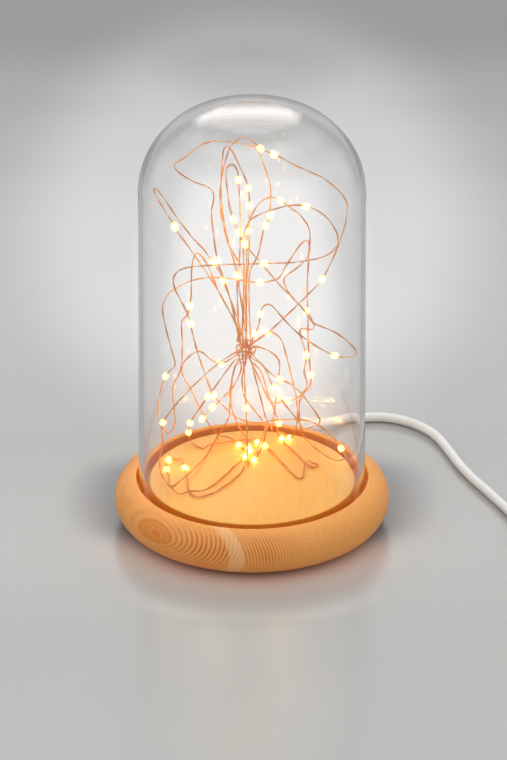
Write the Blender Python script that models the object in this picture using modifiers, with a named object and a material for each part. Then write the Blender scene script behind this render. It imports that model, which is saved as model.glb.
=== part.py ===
"""Glass cloche light: a glass bell on a turned pine base, with a bunched copper LED string inside.

Metres, +Z up. The origin is the centre of the footprint, on the surface that the feet stand on.
+Y is the back, where the lead leaves the base.
"""
import math

import bmesh
import bpy
import numpy as np
from mathutils import Vector, kdtree

MM = 0.001

# Fits
GAP = 0.3 * MM                 # air between two pieces that touch
WIRE_GAP = 0.45 * MM           # least air between two strands of the string

# Wooden base
BASE_R = 60 * MM
BASE_THICK = 21 * MM           # its edge is a full round of half this radius
PLATEAU_DROP = 0.8 * MM        # the middle lies this far below the rim
GROOVE_DEPTH = 6 * MM          # below the rim
GROOVE_PLAY_OUT = 1.2 * MM     # between the glass and the groove's outer wall
GROOVE_PLAY_IN = 2.5 * MM      # between the glass and the raised middle
EASE = 0.5 * MM                # small chamfers on the wood
RECESS_R = 27 * MM             # hollow under the base, for the driver
RECESS_ROOF = 9.2 * MM         # wood left above the hollow
REBATE_R = 36 * MM             # ledge that takes the bottom cover

# Feet
FOOT_R = 5 * MM
FOOT_THICK = 1.2 * MM
FOOT_CIRCLE_R = 42.5 * MM

# Bottom cover and its screws
COVER_THICK = 2.4 * MM
COVER_INSET = 0.2 * MM         # the cover lies this far above the wood's underside
COVER_SCREW_CIRCLE_R = 31.5 * MM
COVER_SCREW_R = 1.3 * MM
COVER_SCREW_LENGTH = 9 * MM
COVER_HEAD_R = 2.5 * MM
COVER_HEAD_THICK = 1.1 * MM
COVER_SINK_DEPTH = 1.5 * MM

# Glass bell
DOME_R = 49.5 * MM
DOME_WALL = 2 * MM
DOME_HEIGHT = 180 * MM
SHOULDER_R = 36 * MM
CROWN_LIFT = 0.6 * MM          # the crown stands this far proud inside a faint ring
CROWN_RING_R = 37 * MM

# Lead
LEAD_R = 2.1 * MM
LEAD_Z = 9.6 * MM              # height of the bore at the back of the base
LEAD_TURN = math.radians(18)   # the bore points this far right of straight back
BORE_PLAY = 0.4 * MM
RELIEF_R = 3.5 * MM
RELIEF_TIP_R = 3.0 * MM
RELIEF_SEAT = 8.5 * MM         # length of the relief that sits in the wood
RELIEF_OUT = 7.5 * MM          # length of the relief outside
LEAD_END = 16 * MM             # the jacket ends this far from the base's axis
CORE_R = 0.6 * MM
CORE_APART = 1.7 * MM

# Clamp on the lead, inside
CLAMP_SIZE = (15 * MM, 5 * MM)
CLAMP_WALL = 1.2 * MM
CLAMP_PLACE = 20.5 * MM        # from the base's axis, along the lead
CLAMP_SCREW_R = 1.0 * MM
CLAMP_SCREW_APART = 10.4 * MM
CLAMP_SCREW_BITE = 4.5 * MM
CLAMP_HEAD_R = 2 * MM
CLAMP_HEAD_THICK = 1.2 * MM

# Driver
BOARD_SIZE = (24 * MM, 15 * MM, 1.2 * MM)
BOARD_Y = -7 * MM
PAD_SIZE = (18 * MM, 10 * MM, 1.0 * MM)
CHIP_SIZE = (5 * MM, 4 * MM, 1.6 * MM)
RESISTOR_SIZE = (3.2 * MM, 1.6 * MM, 0.6 * MM)
CAPACITOR_R = 2 * MM
CAPACITOR_HEIGHT = 4.6 * MM
SOLDER_INSET = 2 * MM          # the wires end this far inside the board's edge

# Light string
WIRE_R = 0.4 * MM
BEAD_R = 1.5 * MM
BEAD_LENGTH = 4.0 * MM
STRING_HOLE_R = 2 * MM
STRING_HOLE = (-2 * MM, 15 * MM)
READ_TILT = math.radians(26.85)  # the readings below look down at this angle
READ_BORE_R = 47.5 * MM        # inside radius of the glass where they were read
READ_PLATEAU_Z = 21.7 * MM     # and height of the wood's middle
READ_CROWN_Z = 194.2 * MM      # and of the inside of the crown
BUNCH = (-2.6, 0.5)            # axis of the bunch, mm
BUNCH_PITCH = 1.35             # between strands in the bunch, mm

# Put-away length of the lead
COIL_CENTRE = (152 * MM, -22 * MM)
COIL_TURNS = 4                 # in each of two layers
COIL_MEAN_R = 11 * LEAD_R
COIL_AIR = 0.6 * MM
COIL_STEPS = 24                # points in one turn
TIE_THICK = 0.8 * MM
TIE_WIDTH = 5 * MM
TIE_AIR = 0.6 * MM

# Plug
PLUG_BODY = (16 * MM, 22 * MM, 7.6 * MM)
PLUG_LIFT = 0.1 * MM
PLUG_BACK_Y = 27 * MM          # where the moulded body begins
PLUG_RELIEF_LENGTH = 10 * MM
SHELL_SIZE = (12 * MM, 12 * MM, 4.5 * MM)
SHELL_WALL = 0.35 * MM
SHELL_WINDOW = (2.2 * MM, 2.2 * MM)
SHELL_WINDOW_APART = 4.6 * MM
TONGUE_THICK = 1.8 * MM
CONTACT_SIZE = (1.1 * MM, 7.5 * MM, 0.25 * MM)
CONTACT_PITCH = 2.3 * MM

# Worked out
base_bottom = FOOT_THICK + GAP
rim_z = base_bottom + BASE_THICK
nose_r = BASE_THICK / 2
nose_z = base_bottom + nose_r
plateau_z = rim_z - PLATEAU_DROP
bore_r = DOME_R - DOME_WALL
plateau_r = bore_r - GROOVE_PLAY_IN
groove_r = DOME_R + GROOVE_PLAY_OUT
groove_z = rim_z - GROOVE_DEPTH
roof_z = plateau_z - RECESS_ROOF
cover_z = base_bottom + COVER_INSET
ledge_z = cover_z + COVER_THICK + GAP
dome_z = groove_z + GAP
dome_top = dome_z + DOME_HEIGHT
crown_r = DOME_R - SHOULDER_R
shoulder_z = dome_top - CROWN_LIFT - SHOULDER_R
sleeve_r = LEAD_R + GAP
lead_bore_r = LEAD_R + BORE_PLAY


def make_collections():
    """Empty the file and add one collection for the parts and one for the cutters."""
    for item in list(bpy.data.objects):
        bpy.data.objects.remove(item, do_unlink=True)
    made = []
    for name in ("glass_cloche_light", "cutters"):
        group = bpy.data.collections.new(name)
        bpy.context.scene.collection.children.link(group)
        made.append(group)
    return made


PARTS, CUTTERS = make_collections()


def material(name, colour, roughness, metallic=0.0, transmission=0.0):
    mat = bpy.data.materials.new(name)
    mat.use_nodes = True
    shader = mat.node_tree.nodes["Principled BSDF"]
    shader.inputs["Base Color"].default_value = (*colour, 1.0)
    shader.inputs["Roughness"].default_value = roughness
    shader.inputs["Metallic"].default_value = metallic
    shader.inputs["Transmission Weight"].default_value = transmission
    return mat


PINE = material("pine", (0.78, 0.45, 0.19), 0.45)
GLASS = material("clear_glass", (0.95, 0.97, 0.97), 0.02, transmission=1.0)
COPPER = material("copper_wire", (0.72, 0.38, 0.24), 0.35, 0.9)
WHITE_CABLE = material("white_cable", (0.86, 0.86, 0.85), 0.45)
GREY_PLASTIC = material("grey_plastic", (0.18, 0.18, 0.18), 0.55)
RUBBER = material("soft_rubber", (0.55, 0.54, 0.52), 0.8)
STEEL = material("zinc_steel", (0.62, 0.62, 0.64), 0.35, 1.0)
BOARD_GREEN = material("board_green", (0.03, 0.2, 0.08), 0.4)
FOAM = material("foam_tape", (0.8, 0.8, 0.78), 0.9)
BLACK_RESIN = material("black_resin", (0.03, 0.03, 0.03), 0.35)
CERAMIC = material("resistor_ceramic", (0.1, 0.1, 0.11), 0.5)
CAN_BLUE = material("capacitor_sleeve", (0.06, 0.08, 0.25), 0.4)
RED_CORE = material("red_core", (0.6, 0.03, 0.03), 0.5)
BLACK_CORE = material("black_core", (0.03, 0.03, 0.03), 0.5)
NICKEL = material("nickel_shell", (0.7, 0.7, 0.7), 0.25, 1.0)
GOLD = material("gold_contact", (0.9, 0.66, 0.25), 0.3, 1.0)
TIE_WHITE = material("tie_white", (0.8, 0.8, 0.8), 0.6)


def add(name, data, mat, parent=None, place=(0, 0, 0), turn=(0, 0, 0)):
    """Put a mesh or a curve into the parts collection as one named object."""
    obj = bpy.data.objects.new(name, data)
    PARTS.objects.link(obj)
    data.materials.append(mat)
    obj.location = place
    obj.rotation_euler = turn
    obj.parent = parent
    return obj


def as_cutter(obj):
    for group in list(obj.users_collection):
        group.objects.unlink(obj)
    CUTTERS.objects.link(obj)
    obj.hide_render = True
    obj.display_type = "WIRE"
    return obj


def profile_mesh(name, points, closed):
    """Edges through (x, z) points, for a Screw modifier."""
    mesh = bpy.data.meshes.new(name)
    count = len(points)
    edges = [(i, i + 1) for i in range(count - 1)]
    if closed:
        edges.append((count - 1, 0))
    mesh.from_pydata([(x, 0, z) for x, z in points], edges, [])
    return mesh


def turned(name, points, steps, mat, closed=False, parent=None, place=(0, 0, 0), turn=(0, 0, 0)):
    """A turned solid: the profile runs down its outer side from the top."""
    obj = add(name, profile_mesh(name, points, closed), mat, parent, place, turn)
    screw = obj.modifiers.new("turn", "SCREW")
    screw.steps = steps
    screw.render_steps = steps
    screw.use_merge_vertices = True
    screw.merge_threshold = 0.00001
    return obj


def arc(centre, radius, start, stop, steps):
    """Points on a round, angles in degrees from +X towards +Z."""
    angles = np.radians(np.linspace(start, stop, steps + 1))
    return [(centre[0] + radius * math.cos(a), centre[1] + radius * math.sin(a)) for a in angles]


def block(name, size, place, mat, parent=None, turn=(0, 0, 0)):
    """A box of real size whose centre is at place."""
    mesh = bpy.data.meshes.new(name)
    bm = bmesh.new()
    bmesh.ops.create_cube(bm, size=1.0)
    bmesh.ops.scale(bm, vec=size, verts=bm.verts)
    bm.to_mesh(mesh)
    bm.free()
    return add(name, mesh, mat, parent, place, turn)


def rod(name, radius, length, place, mat, steps=24, parent=None, turn=(0, 0, 0)):
    """A plain cylinder along its own Z, centred at place."""
    mesh = bpy.data.meshes.new(name)
    bm = bmesh.new()
    bmesh.ops.create_cone(bm, cap_ends=True, segments=steps, radius1=radius, radius2=radius, depth=length)
    bm.to_mesh(mesh)
    bm.free()
    return add(name, mesh, mat, parent, place, turn)


def soften(obj, width, segments=2):
    """Rounded edges."""
    bevel = obj.modifiers.new("soft_edges", "BEVEL")
    bevel.width = width
    bevel.segments = segments
    bevel.limit_method = "ANGLE"


def cut(target, *cutters):
    """Take each cutter out of the target."""
    for cutter in cutters:
        as_cutter(cutter)
        boolean = target.modifiers.new("cut_" + cutter.name, "BOOLEAN")
        boolean.operation = "DIFFERENCE"
        boolean.solver = "EXACT"
        boolean.object = cutter


def tube(name, points, radius, mat, resolution, swell=None):
    """A wire or cord: a POLY curve with filled caps. swell holds each point's share of the radius."""
    curve = bpy.data.curves.new(name, "CURVE")
    curve.dimensions = "3D"
    curve.bevel_depth = radius
    curve.bevel_resolution = resolution
    curve.use_fill_caps = True
    spline = curve.splines.new("POLY")
    spline.points.add(len(points) - 1)
    for i, (point, at) in enumerate(zip(spline.points, points)):
        point.co = (*at, 1.0)
        point.radius = swell[i] if swell else 1.0
    return add(name, curve, mat)


def smooth_path(points, steps):
    """A smooth curve through the route's own points (centripetal Catmull-Rom)."""
    route = [np.array(p, float) for p in points]
    path = []
    for i in range(len(route) - 1):
        p1, p2 = route[i], route[i + 1]
        p0 = route[i - 1] if i else 2 * p1 - p2
        p3 = route[i + 2] if i + 2 < len(route) else 2 * p2 - p1
        t0 = 0.0
        t1 = t0 + math.sqrt(np.linalg.norm(p1 - p0))
        t2 = t1 + math.sqrt(np.linalg.norm(p2 - p1))
        t3 = t2 + math.sqrt(np.linalg.norm(p3 - p2))
        for t in np.linspace(t1, t2, steps, endpoint=False):
            a1 = (p0 * (t1 - t) + p1 * (t - t0)) / (t1 - t0)
            a2 = (p1 * (t2 - t) + p2 * (t - t1)) / (t2 - t1)
            a3 = (p2 * (t3 - t) + p3 * (t - t2)) / (t3 - t2)
            b1 = (a1 * (t2 - t) + a2 * (t - t0)) / (t2 - t0)
            b2 = (a2 * (t3 - t) + a3 * (t - t1)) / (t3 - t1)
            path.append((b1 * (t2 - t) + b2 * (t - t1)) / (t2 - t1))
    path.append(route[-1])
    return np.array(path)


def run_lengths(path):
    """Distance along a path to each of its points."""
    steps = np.linalg.norm(np.diff(path, axis=0), axis=1)
    return np.concatenate([[0.0], np.cumsum(steps)])


def along(path, distances):
    """Points at the given distances along a path."""
    lengths = run_lengths(path)
    return np.stack([np.interp(distances, lengths, path[:, k]) for k in range(3)], axis=1)


def screw(name, head_r, head_thick, shank_r, length, place, parent=None):
    """A cross-head screw that points up: place is the underside of its head."""
    tip = length - shank_r
    profile = [(0, length), (shank_r, tip), (shank_r, 0), (head_r, 0), (head_r, -0.6 * head_thick),
               (0.75 * head_r, -head_thick), (0, -head_thick)]
    body = turned(name, profile, 16, STEEL, parent=parent, place=place)
    long_side = 1.2 * head_r
    short_side = 0.3 * head_r
    for k, size in enumerate(((long_side, short_side), (short_side, long_side))):
        depth = 0.5 * head_thick
        centre = Vector(place) - Vector((0, 0, head_thick))
        cut(body, block(f"{name}_slot_{k}", (*size, 2 * depth), centre, STEEL, parent))
    return body


def ring_places(radius, count=4, start=45):
    """Points spaced evenly on a circle."""
    angles = [math.radians(start + 360 * k / count) for k in range(count)]
    return [(radius * math.cos(a), radius * math.sin(a)) for a in angles]


# The lead's bore, relief and clamp hang on one empty that is turned to the lead's direction.
lead_frame = bpy.data.objects.new("lead_direction", None)
PARTS.objects.link(lead_frame)
lead_frame.rotation_euler = (0, 0, -LEAD_TURN)
LIE_BACK = (math.radians(-90), 0, 0)  # turns a piece's own Z to the lead's direction


def lead_point(distance, height=LEAD_Z, side=0.0):
    """A place on the lead's bore, in world coordinates."""
    c, s = math.cos(LEAD_TURN), math.sin(LEAD_TURN)
    return (distance * s + side * c, distance * c - side * s, height)


nose_at_lead = BASE_R - nose_r + math.sqrt(nose_r ** 2 - (nose_z - LEAD_Z) ** 2)
relief_back = nose_at_lead - RELIEF_SEAT
relief_tip = nose_at_lead + RELIEF_OUT


def build_base():
    """One turned, edge-glued pine disc with a full-round edge."""
    rim_corner = (groove_r, nose_z + math.sqrt(nose_r ** 2 - (groove_r - (BASE_R - nose_r)) ** 2))
    first = math.degrees(math.atan2(rim_corner[1] - nose_z, rim_corner[0] - (BASE_R - nose_r)))
    profile = [(0, plateau_z), (plateau_r - EASE, plateau_z), (plateau_r, plateau_z - EASE),
               (plateau_r, groove_z), (groove_r, groove_z), (groove_r, rim_corner[1] - EASE)]
    profile += arc((BASE_R - nose_r, nose_z), nose_r, first - 3, -90, 14)
    profile += [(REBATE_R, base_bottom), (REBATE_R, ledge_z), (RECESS_R, ledge_z), (RECESS_R, roof_z),
                (0, roof_z)]
    base = turned("wooden_base", profile, 64, PINE)

    reach = BASE_R - RECESS_R + 6 * MM
    middle = BASE_R + 2 * MM - reach / 2
    seat = RELIEF_SEAT + GAP + 6 * MM
    hole_length = RECESS_ROOF * 1.5
    seat_y = relief_back - GAP + seat / 2
    cut(base,
        rod("string_hole", STRING_HOLE_R, hole_length, (*STRING_HOLE, (plateau_z + roof_z) / 2), PINE, 20),
        rod("lead_bore", lead_bore_r, reach, (0, middle, LEAD_Z), PINE, 20, lead_frame, LIE_BACK),
        rod("relief_seat", RELIEF_R + GAP, seat, (0, seat_y, LEAD_Z), PINE, 20, lead_frame, LIE_BACK))
    pilot = COVER_SCREW_LENGTH + 2 * GAP
    for k, (x, y) in enumerate(ring_places(COVER_SCREW_CIRCLE_R)):
        top = cover_z + COVER_SINK_DEPTH - GAP + pilot
        cut(base, rod(f"cover_pilot_{k}", COVER_SCREW_R + GAP, pilot, (x, y, top - pilot / 2), PINE, 12))
    bite = CLAMP_SCREW_BITE + 2 * GAP
    for k, side in enumerate((-1, 1)):
        place = (side * CLAMP_SCREW_APART / 2, CLAMP_PLACE, roof_z)
        cut(base, rod(f"clamp_pilot_{k}", CLAMP_SCREW_R + GAP, 2 * bite, place, PINE, 12, lead_frame))
    return base


def build_dome():
    """The glass bell: straight wall, round shoulder, a slightly proud crown and a fire-polished rim."""
    ring_angle = math.degrees(math.acos((CROWN_RING_R - crown_r) / SHOULDER_R))
    centre = (crown_r, shoulder_z)
    inner_r = SHOULDER_R - DOME_WALL
    lip = DOME_WALL / 2
    profile = [(0, dome_top)]
    profile += arc(centre, SHOULDER_R + CROWN_LIFT, 90, ring_angle + 1.5, 5)
    profile += arc(centre, SHOULDER_R, ring_angle - 1.5, 0, 5)
    profile += arc((DOME_R - lip, dome_z + lip), lip, 0, -180, 4)
    profile += arc(centre, inner_r, 0, 90, 8)
    profile += [(0, shoulder_z + inner_r)]
    return turned("glass_dome", profile, 48, GLASS)


def build_underside():
    """Bottom cover, its four screws and four soft feet."""
    cover_middle = (0, 0, cover_z + COVER_THICK / 2)
    cover = rod("bottom_cover", REBATE_R - GAP, COVER_THICK, cover_middle, GREY_PLASTIC, 48)
    for k, (x, y) in enumerate(ring_places(COVER_SCREW_CIRCLE_R)):
        place = (x, y, cover_z)
        cut(cover,
            rod(f"cover_hole_{k}", COVER_SCREW_R + GAP, 3 * COVER_THICK, place, GREY_PLASTIC, 12),
            rod(f"cover_sink_{k}", COVER_HEAD_R + GAP, 2 * COVER_SINK_DEPTH, place, GREY_PLASTIC, 16))
        head_seat = cover_z + COVER_SINK_DEPTH - GAP
        screw(f"cover_screw_{k + 1}", COVER_HEAD_R, COVER_HEAD_THICK, COVER_SCREW_R, COVER_SCREW_LENGTH,
              (x, y, head_seat))
    for k, (x, y) in enumerate(ring_places(FOOT_CIRCLE_R)):
        foot = rod(f"foot_{k + 1}", FOOT_R, FOOT_THICK, (x, y, FOOT_THICK / 2), RUBBER, 24)
        soften(foot, 0.25 * MM, 1)


def build_driver():
    """The board on its foam pad under the wood, with its parts facing down."""
    pad_z = roof_z - GAP - PAD_SIZE[2] / 2
    board_z = roof_z - 2 * GAP - PAD_SIZE[2] - BOARD_SIZE[2] / 2
    under = board_z - BOARD_SIZE[2] / 2 - GAP
    block("board_pad", PAD_SIZE, (0, BOARD_Y, pad_z), FOAM)
    block("driver_board", BOARD_SIZE, (0, BOARD_Y, board_z), BOARD_GREEN)
    chip_place = (-3 * MM, BOARD_Y - 2 * MM, under - CHIP_SIZE[2] / 2)
    chip = block("driver_chip", CHIP_SIZE, chip_place, BLACK_RESIN)
    soften(chip, 0.15 * MM, 1)
    resistor_z = under - RESISTOR_SIZE[2] / 2
    block("series_resistor", RESISTOR_SIZE, (3.5 * MM, BOARD_Y + 1 * MM, resistor_z), CERAMIC)
    capacitor = rod("storage_capacitor", CAPACITOR_R, CAPACITOR_HEIGHT,
                    (7.5 * MM, BOARD_Y - 4 * MM, under - CAPACITOR_HEIGHT / 2), CAN_BLUE, 16)
    soften(capacitor, 0.3 * MM, 1)
    return under


board_under = build_driver()
board_edge = BOARD_Y + BOARD_SIZE[1] / 2


def build_lead_inside():
    """The lead in its bore, its two cores, the relief and the clamp."""
    inside = np.array([lead_point(LEAD_END), lead_point(relief_back)])
    lead_in = along(inside, np.linspace(0, relief_back - LEAD_END, 6))
    tube("cable_lead_in", lead_in, LEAD_R, WHITE_CABLE, 2)
    solder_z = board_under - CORE_R
    cores = (("core_minus", -1, 3.5 * MM, BLACK_CORE), ("core_plus", 1, 7 * MM, RED_CORE))
    for name, side, pad_x, mat in cores:
        shift = side * CORE_APART / 2
        start = LEAD_END - GAP
        knee = lead_point(start - 4 * MM, LEAD_Z, shift)
        route = [lead_point(start, LEAD_Z, shift), knee,
                 (pad_x, board_edge + 3 * MM, (LEAD_Z + solder_z) / 2), (pad_x, board_edge, solder_z),
                 (pad_x, board_edge - SOLDER_INSET, solder_z)]
        tube(name, smooth_path(route, 3), CORE_R, mat, 1)

    relief = [(sleeve_r, RELIEF_SEAT + RELIEF_OUT), (RELIEF_TIP_R, RELIEF_SEAT + RELIEF_OUT),
              (RELIEF_R, RELIEF_SEAT + 1 * MM), (RELIEF_R, 0), (sleeve_r, 0)]
    relief_place = (0, relief_back, LEAD_Z)
    turned("cable_strain_relief", relief, 20, WHITE_CABLE, True, lead_frame, relief_place, LIE_BACK)

    clamp_top = roof_z - GAP
    clamp_low = LEAD_Z - sleeve_r - CLAMP_WALL
    height = clamp_top - clamp_low
    clamp = block("cable_clamp", (*CLAMP_SIZE, height), (0, CLAMP_PLACE, (clamp_top + clamp_low) / 2),
                  GREY_PLASTIC, lead_frame)
    soften(clamp, 0.5 * MM, 1)
    width = 3 * CLAMP_SIZE[1]
    above = clamp_top - LEAD_Z + 2 * MM
    on_lead = (0, CLAMP_PLACE, LEAD_Z)
    cut(clamp,
        rod("clamp_round", sleeve_r, width, on_lead, GREY_PLASTIC, 16, lead_frame, LIE_BACK),
        block("clamp_mouth", (2 * sleeve_r * 0.999, width, above), (0, CLAMP_PLACE, LEAD_Z + above / 2),
              GREY_PLASTIC, lead_frame))
    for k, side in enumerate((-1, 1)):
        x = side * CLAMP_SCREW_APART / 2
        place = (x, CLAMP_PLACE, LEAD_Z)
        hole_r = CLAMP_SCREW_R + GAP
        cut(clamp, rod(f"clamp_hole_{k}", hole_r, 3 * height, place, GREY_PLASTIC, 12, lead_frame))
        seat = clamp_low - GAP
        screw(f"clamp_screw_{k + 1}", CLAMP_HEAD_R, CLAMP_HEAD_THICK, CLAMP_SCREW_R,
              roof_z + CLAMP_SCREW_BITE - seat, (x, CLAMP_PLACE, seat), lead_frame)


# The light string's route. Each reading is (across, up, back) in millimetres: across and up as seen
# by an eye that looks down at READ_TILT, and back is the depth behind the base's axis. A fourth value
# of 1 marks an LED. Heights that the bunch gives are true ones.
def seen(x, y, z, led=0):
    """A reading for a place whose true height is known, in millimetres."""
    return (x, z * math.cos(READ_TILT) + y * math.sin(READ_TILT), y, led)


def bunch(column, row, *heights):
    """A strand's own place in the bunch, at each height."""
    x = BUNCH[0] + (column - 1) * BUNCH_PITCH
    y = BUNCH[1] + (row - 2) * BUNCH_PITCH
    return [seen(x, y, z) for z in heights]


def wound_tie(turns=2, radius=4.3, high=86.5, low=83.1, start=150, steps=8):
    """The string's own last turns round the bunch."""
    count = turns * steps
    turn = []
    for k in range(count + 1):
        angle = math.radians(start - 360 * k / steps)
        height = high + (low - high) * k / count
        turn.append(seen(BUNCH[0] + radius * math.cos(angle), BUNCH[1] + radius * math.sin(angle), height))
    return turn


def string_readings():
    """The whole string, from the top of its hole to its free end, in the order that it runs."""
    route = []
    # up through the air behind the middle to the bunch
    route += [seen(-2.2, 14.5, 32), seen(-2.6, 11, 50, 1), seen(-3.4, 6, 68)]
    # left leg, top arch and the big lobe on the right
    route += bunch(0, 3, 80, 90, 106, 120)
    route += [(-6.8, 113, 3), (-9.4, 118.5, 5), (-11.3, 124, 7), (-13, 131, 8), (-13.9, 138, 8),
              (-13.9, 144, 7), (-12.8, 151, 5), (-11, 157.5, 3), (-8.2, 163.6, 0), (-3.6, 166.3, -2),
              (0.6, 164.4, -3), (3.4, 161.6, -3, 1), (9.3, 159.3, -1, 1), (14, 157.6, 1), (21, 154, 4),
              (28, 150.6, 7), (33.5, 147.8, 10), (38.3, 143.3, 12), (41.3, 139.4, 12), (42, 135.5, 10),
              (41.1, 130, 8), (39.5, 125, 6), (37.3, 119.5, 3), (34.8, 114.5, 0), (32.3, 109, -3),
              (30.3, 105.5, -5, 1), (25.5, 100, -7), (20.5, 95, -8), (15, 90, -8), (10, 85.3, -7),
              (5, 80.8, -5), (0.2, 77.2, -2.6)]
    # down on the right and back
    route += bunch(2, 1, 84)
    route += [(1.2, 71, -1.6), (6, 66.4, -3), (12, 62.2, -6, 1), (17, 60, -9), (21, 56.4, -12),
              (25, 51, -14), (28.6, 46, -15), (29.4, 43.6, -13), (27, 42, -8), (23.5, 40.6, 0),
              (21.3, 42.4, 6), (18.8, 46.4, 6), (15, 50.4, 5), (12, 54.8, 4, 1), (9.6, 58, 4, 1),
              (7.2, 63.5, 3.6), (4, 69.3, 3)]
    # right leg, over the top, the lobe at the top left, and the left leg
    route += bunch(2, 3, 80, 90, 106, 120)
    route += [(1.9, 114, 3), (3.2, 119.5, 3), (4.3, 124.6, 3), (5.8, 128.4, 3, 1), (7.8, 132.4, 3, 1),
              (7.4, 137, 3), (8, 145, 3), (7.1, 151, 2), (5.2, 155, 2), (3.6, 159, 2), (1, 162.6, 2),
              (-5, 163.9, 3), (-10, 164.6, 2), (-15, 164.7, -1), (-20, 163.5, -4), (-24, 161, -7),
              (-29, 157.2, -10), (-32.6, 155, -12), (-33, 153.2, -13), (-30.8, 150.8, -13),
              (-27, 148.2, -11), (-22, 146.2, -8), (-18, 144.4, -6), (-16.4, 141, -4), (-17.4, 136, -3),
              (-17.5, 130, -3), (-17, 124.5, -3), (-15.9, 119, -3), (-15, 114, -3, 1), (-13.2, 108, -3),
              (-10.4, 101, -3), (-8.2, 94, -3), (-6.1, 86, -2.4)]
    # down on the left to the wood, round its front and back up behind
    route += bunch(0, 1, 84)
    route += [(-6.2, 73.8, -2), (-10, 72, -3), (-14, 69.4, -4), (-18, 66.4, -6), (-22, 62.8, -9),
              (-26.4, 58.6, -12), (-30.4, 54, -14), (-34.2, 49.6, -14), (-37, 45.8, -12),
              (-38.6, 43.5, -6, 1), (-39.8, 40.4, 4), (-39.6, 36.4, 14), (-40.2, 31, 20),
              (-40.4, 26.4, 13), (-39.6, 21.6, 4), (-37.6, 17, -6), (-35.4, 14, -13), (-32, 12, -17.3),
              (-27.5, 11.8, -17.7), (-21.5, 13, -15.1), (-16, 16.2, -8), (-11.6, 20.4, 1),
              (-7.6, 24.6, 11), (-3.4, 26.2, 16, 1), (-1.2, 29.4, 21, 1), (-3, 34.6, 30), (-5.2, 40, 36),
              (-7.4, 44.6, 34), (-9, 50, 24), (-9.2, 56, 15), (-8.6, 62.6, 8), (-6.8, 69.6, 4)]
    # middle arch, then the thin left strand down
    route += bunch(0, 2, 80, 86)
    route += [(-3.2, 92, -0.6), (-2.8, 101, -0.8), (-2.2, 110, -1), (-1.6, 118, -1), (-1.5, 127, -1),
              (-1.1, 135.6, -1, 1), (-1.4, 143.6, -1, 1), (-2.6, 149, -1), (-4.6, 153.6, -1),
              (-7.2, 158.2, -1.4), (-9.6, 161.9, -1.6), (-11.2, 162.5, -2), (-12.4, 160, -1.6),
              (-12.6, 155.6, 0.5), (-13.4, 149, 3), (-13.4, 141, 4), (-12.6, 133.6, 4), (-11.4, 126, 3),
              (-10, 120.4, 1.5), (-8, 114.6, 0), (-6.7, 108.6, -1, 1), (-6.3, 100, -1.4),
              (-6.2, 92, -1.4), (-5.6, 84, -1)]
    # down to the left, along the back of the wood, its front right, and up
    route += bunch(0, 0, 80)
    route += [(-6.8, 71.2, -4), (-9.6, 67, -5), (-14, 61.6, -6), (-18, 56.2, -7, 1), (-22, 50.6, -7),
              (-25.2, 46.4, -3), (-26.9, 43.6, 3, 1), (-28, 39.2, 18, 1), (-27.6, 36, 33),
              (-25, 32.9, 29), (-20.6, 31.6, 26.1), (-15, 32.8, 28.8), (-8.6, 34.8, 33.2), (-3, 35.6, 35),
              (1.2, 34.8, 33.2, 1), (3.8, 33.4, 30.1, 1), (7, 32, 27), (10.2, 29.4, 21.3), (13, 26, 13.7),
              (16, 22.4, 5.8), (19, 19.4, -0.9), (21.3, 18.5, -2.9), (22.6, 20.4, 1), (23.3, 23.4, 8),
              (25, 25.2, 12), (27.6, 25.2, 12), (29.2, 24.2, 9.7), (27.4, 23.3, 7.7), (24.6, 24.4, 10.2),
              (22, 27, 15.9), (19, 30.1, 22.8), (16.2, 33, 29.2), (13.6, 35.6, 34, 1), (11.4, 37.6, 37),
              (12, 41, 36, 1), (11.6, 45.6, 31), (9.2, 50, 22), (6.6, 55.4, 12), (4.6, 61.4, 6),
              (2.2, 68, 3)]
    # small arch, then the long slant to the right wall and back
    route += bunch(2, 2, 80, 86)
    route += [(-4.6, 93, 2.4), (-5.2, 103, 2), (-5.2, 114, 1.6), (-5, 124, 1.4), (-5, 131, 1),
              (-5.3, 138, 1), (-5.6, 145.6, 1, 1), (-5.9, 151.6, 1), (-7.2, 155, 1), (-9, 155.8, 1),
              (-10.6, 154.2, 1), (-11.6, 150, 0), (-11.2, 145, -1), (-10.2, 139.4, -2),
              (-9.2, 134.6, -3, 1), (-7.2, 128.8, -4, 1), (-5, 124, -5, 1), (-2, 120.6, -6),
              (3, 113.6, -7), (8, 108, -9), (12.4, 102.6, -10), (17, 98, -12), (20.8, 94.2, -13),
              (24, 89.2, -14), (27, 86.2, -14), (30.5, 84.9, -14), (35.4, 82.8, -12), (40, 79.8, -9),
              (43.8, 76.4, -6), (45.2, 74, -4), (44.4, 72.4, -3), (39.6, 71.9, -3, 1), (35, 72.6, -4),
              (30, 75.8, -6), (25, 78.4, -8), (20, 82, -10), (15, 86.2, -11), (11.4, 91, -12),
              (7.8, 94.6, -11), (4.6, 93.6, -9, 1), (3.6, 89, -8), (2.6, 84.8, -6, 1), (0.6, 79.6, -4.4)]
    # down the middle to the wood, along its back left and up again
    route += bunch(2, 0, 84)
    route += [(-0.6, 71, -3.4), (1, 64.6, -5), (3.4, 55.4, -6), (5.4, 47.4, -4), (6.9, 43.2, 4),
              (5.6, 38.6, 16), (3, 33, 24), (0.8, 28.6, 20, 1), (-2, 30.4, 24, 1), (-5.4, 31.8, 27),
              (-10, 34.9, 33), (-15.6, 38.6, 36), (-19.8, 42.8, 32), (-22, 47.8, 26), (-25, 54, 22),
              (-28.6, 60.6, 20), (-31, 65.4, 18), (-30.2, 69.2, 16), (-27, 72.4, 14), (-24, 74.3, 12),
              (-21.2, 73.6, 10), (-18.6, 71.2, 9, 1), (-14, 69, 7), (-10, 70.4, 5), (-6.6, 72.4, 4.4)]
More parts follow.
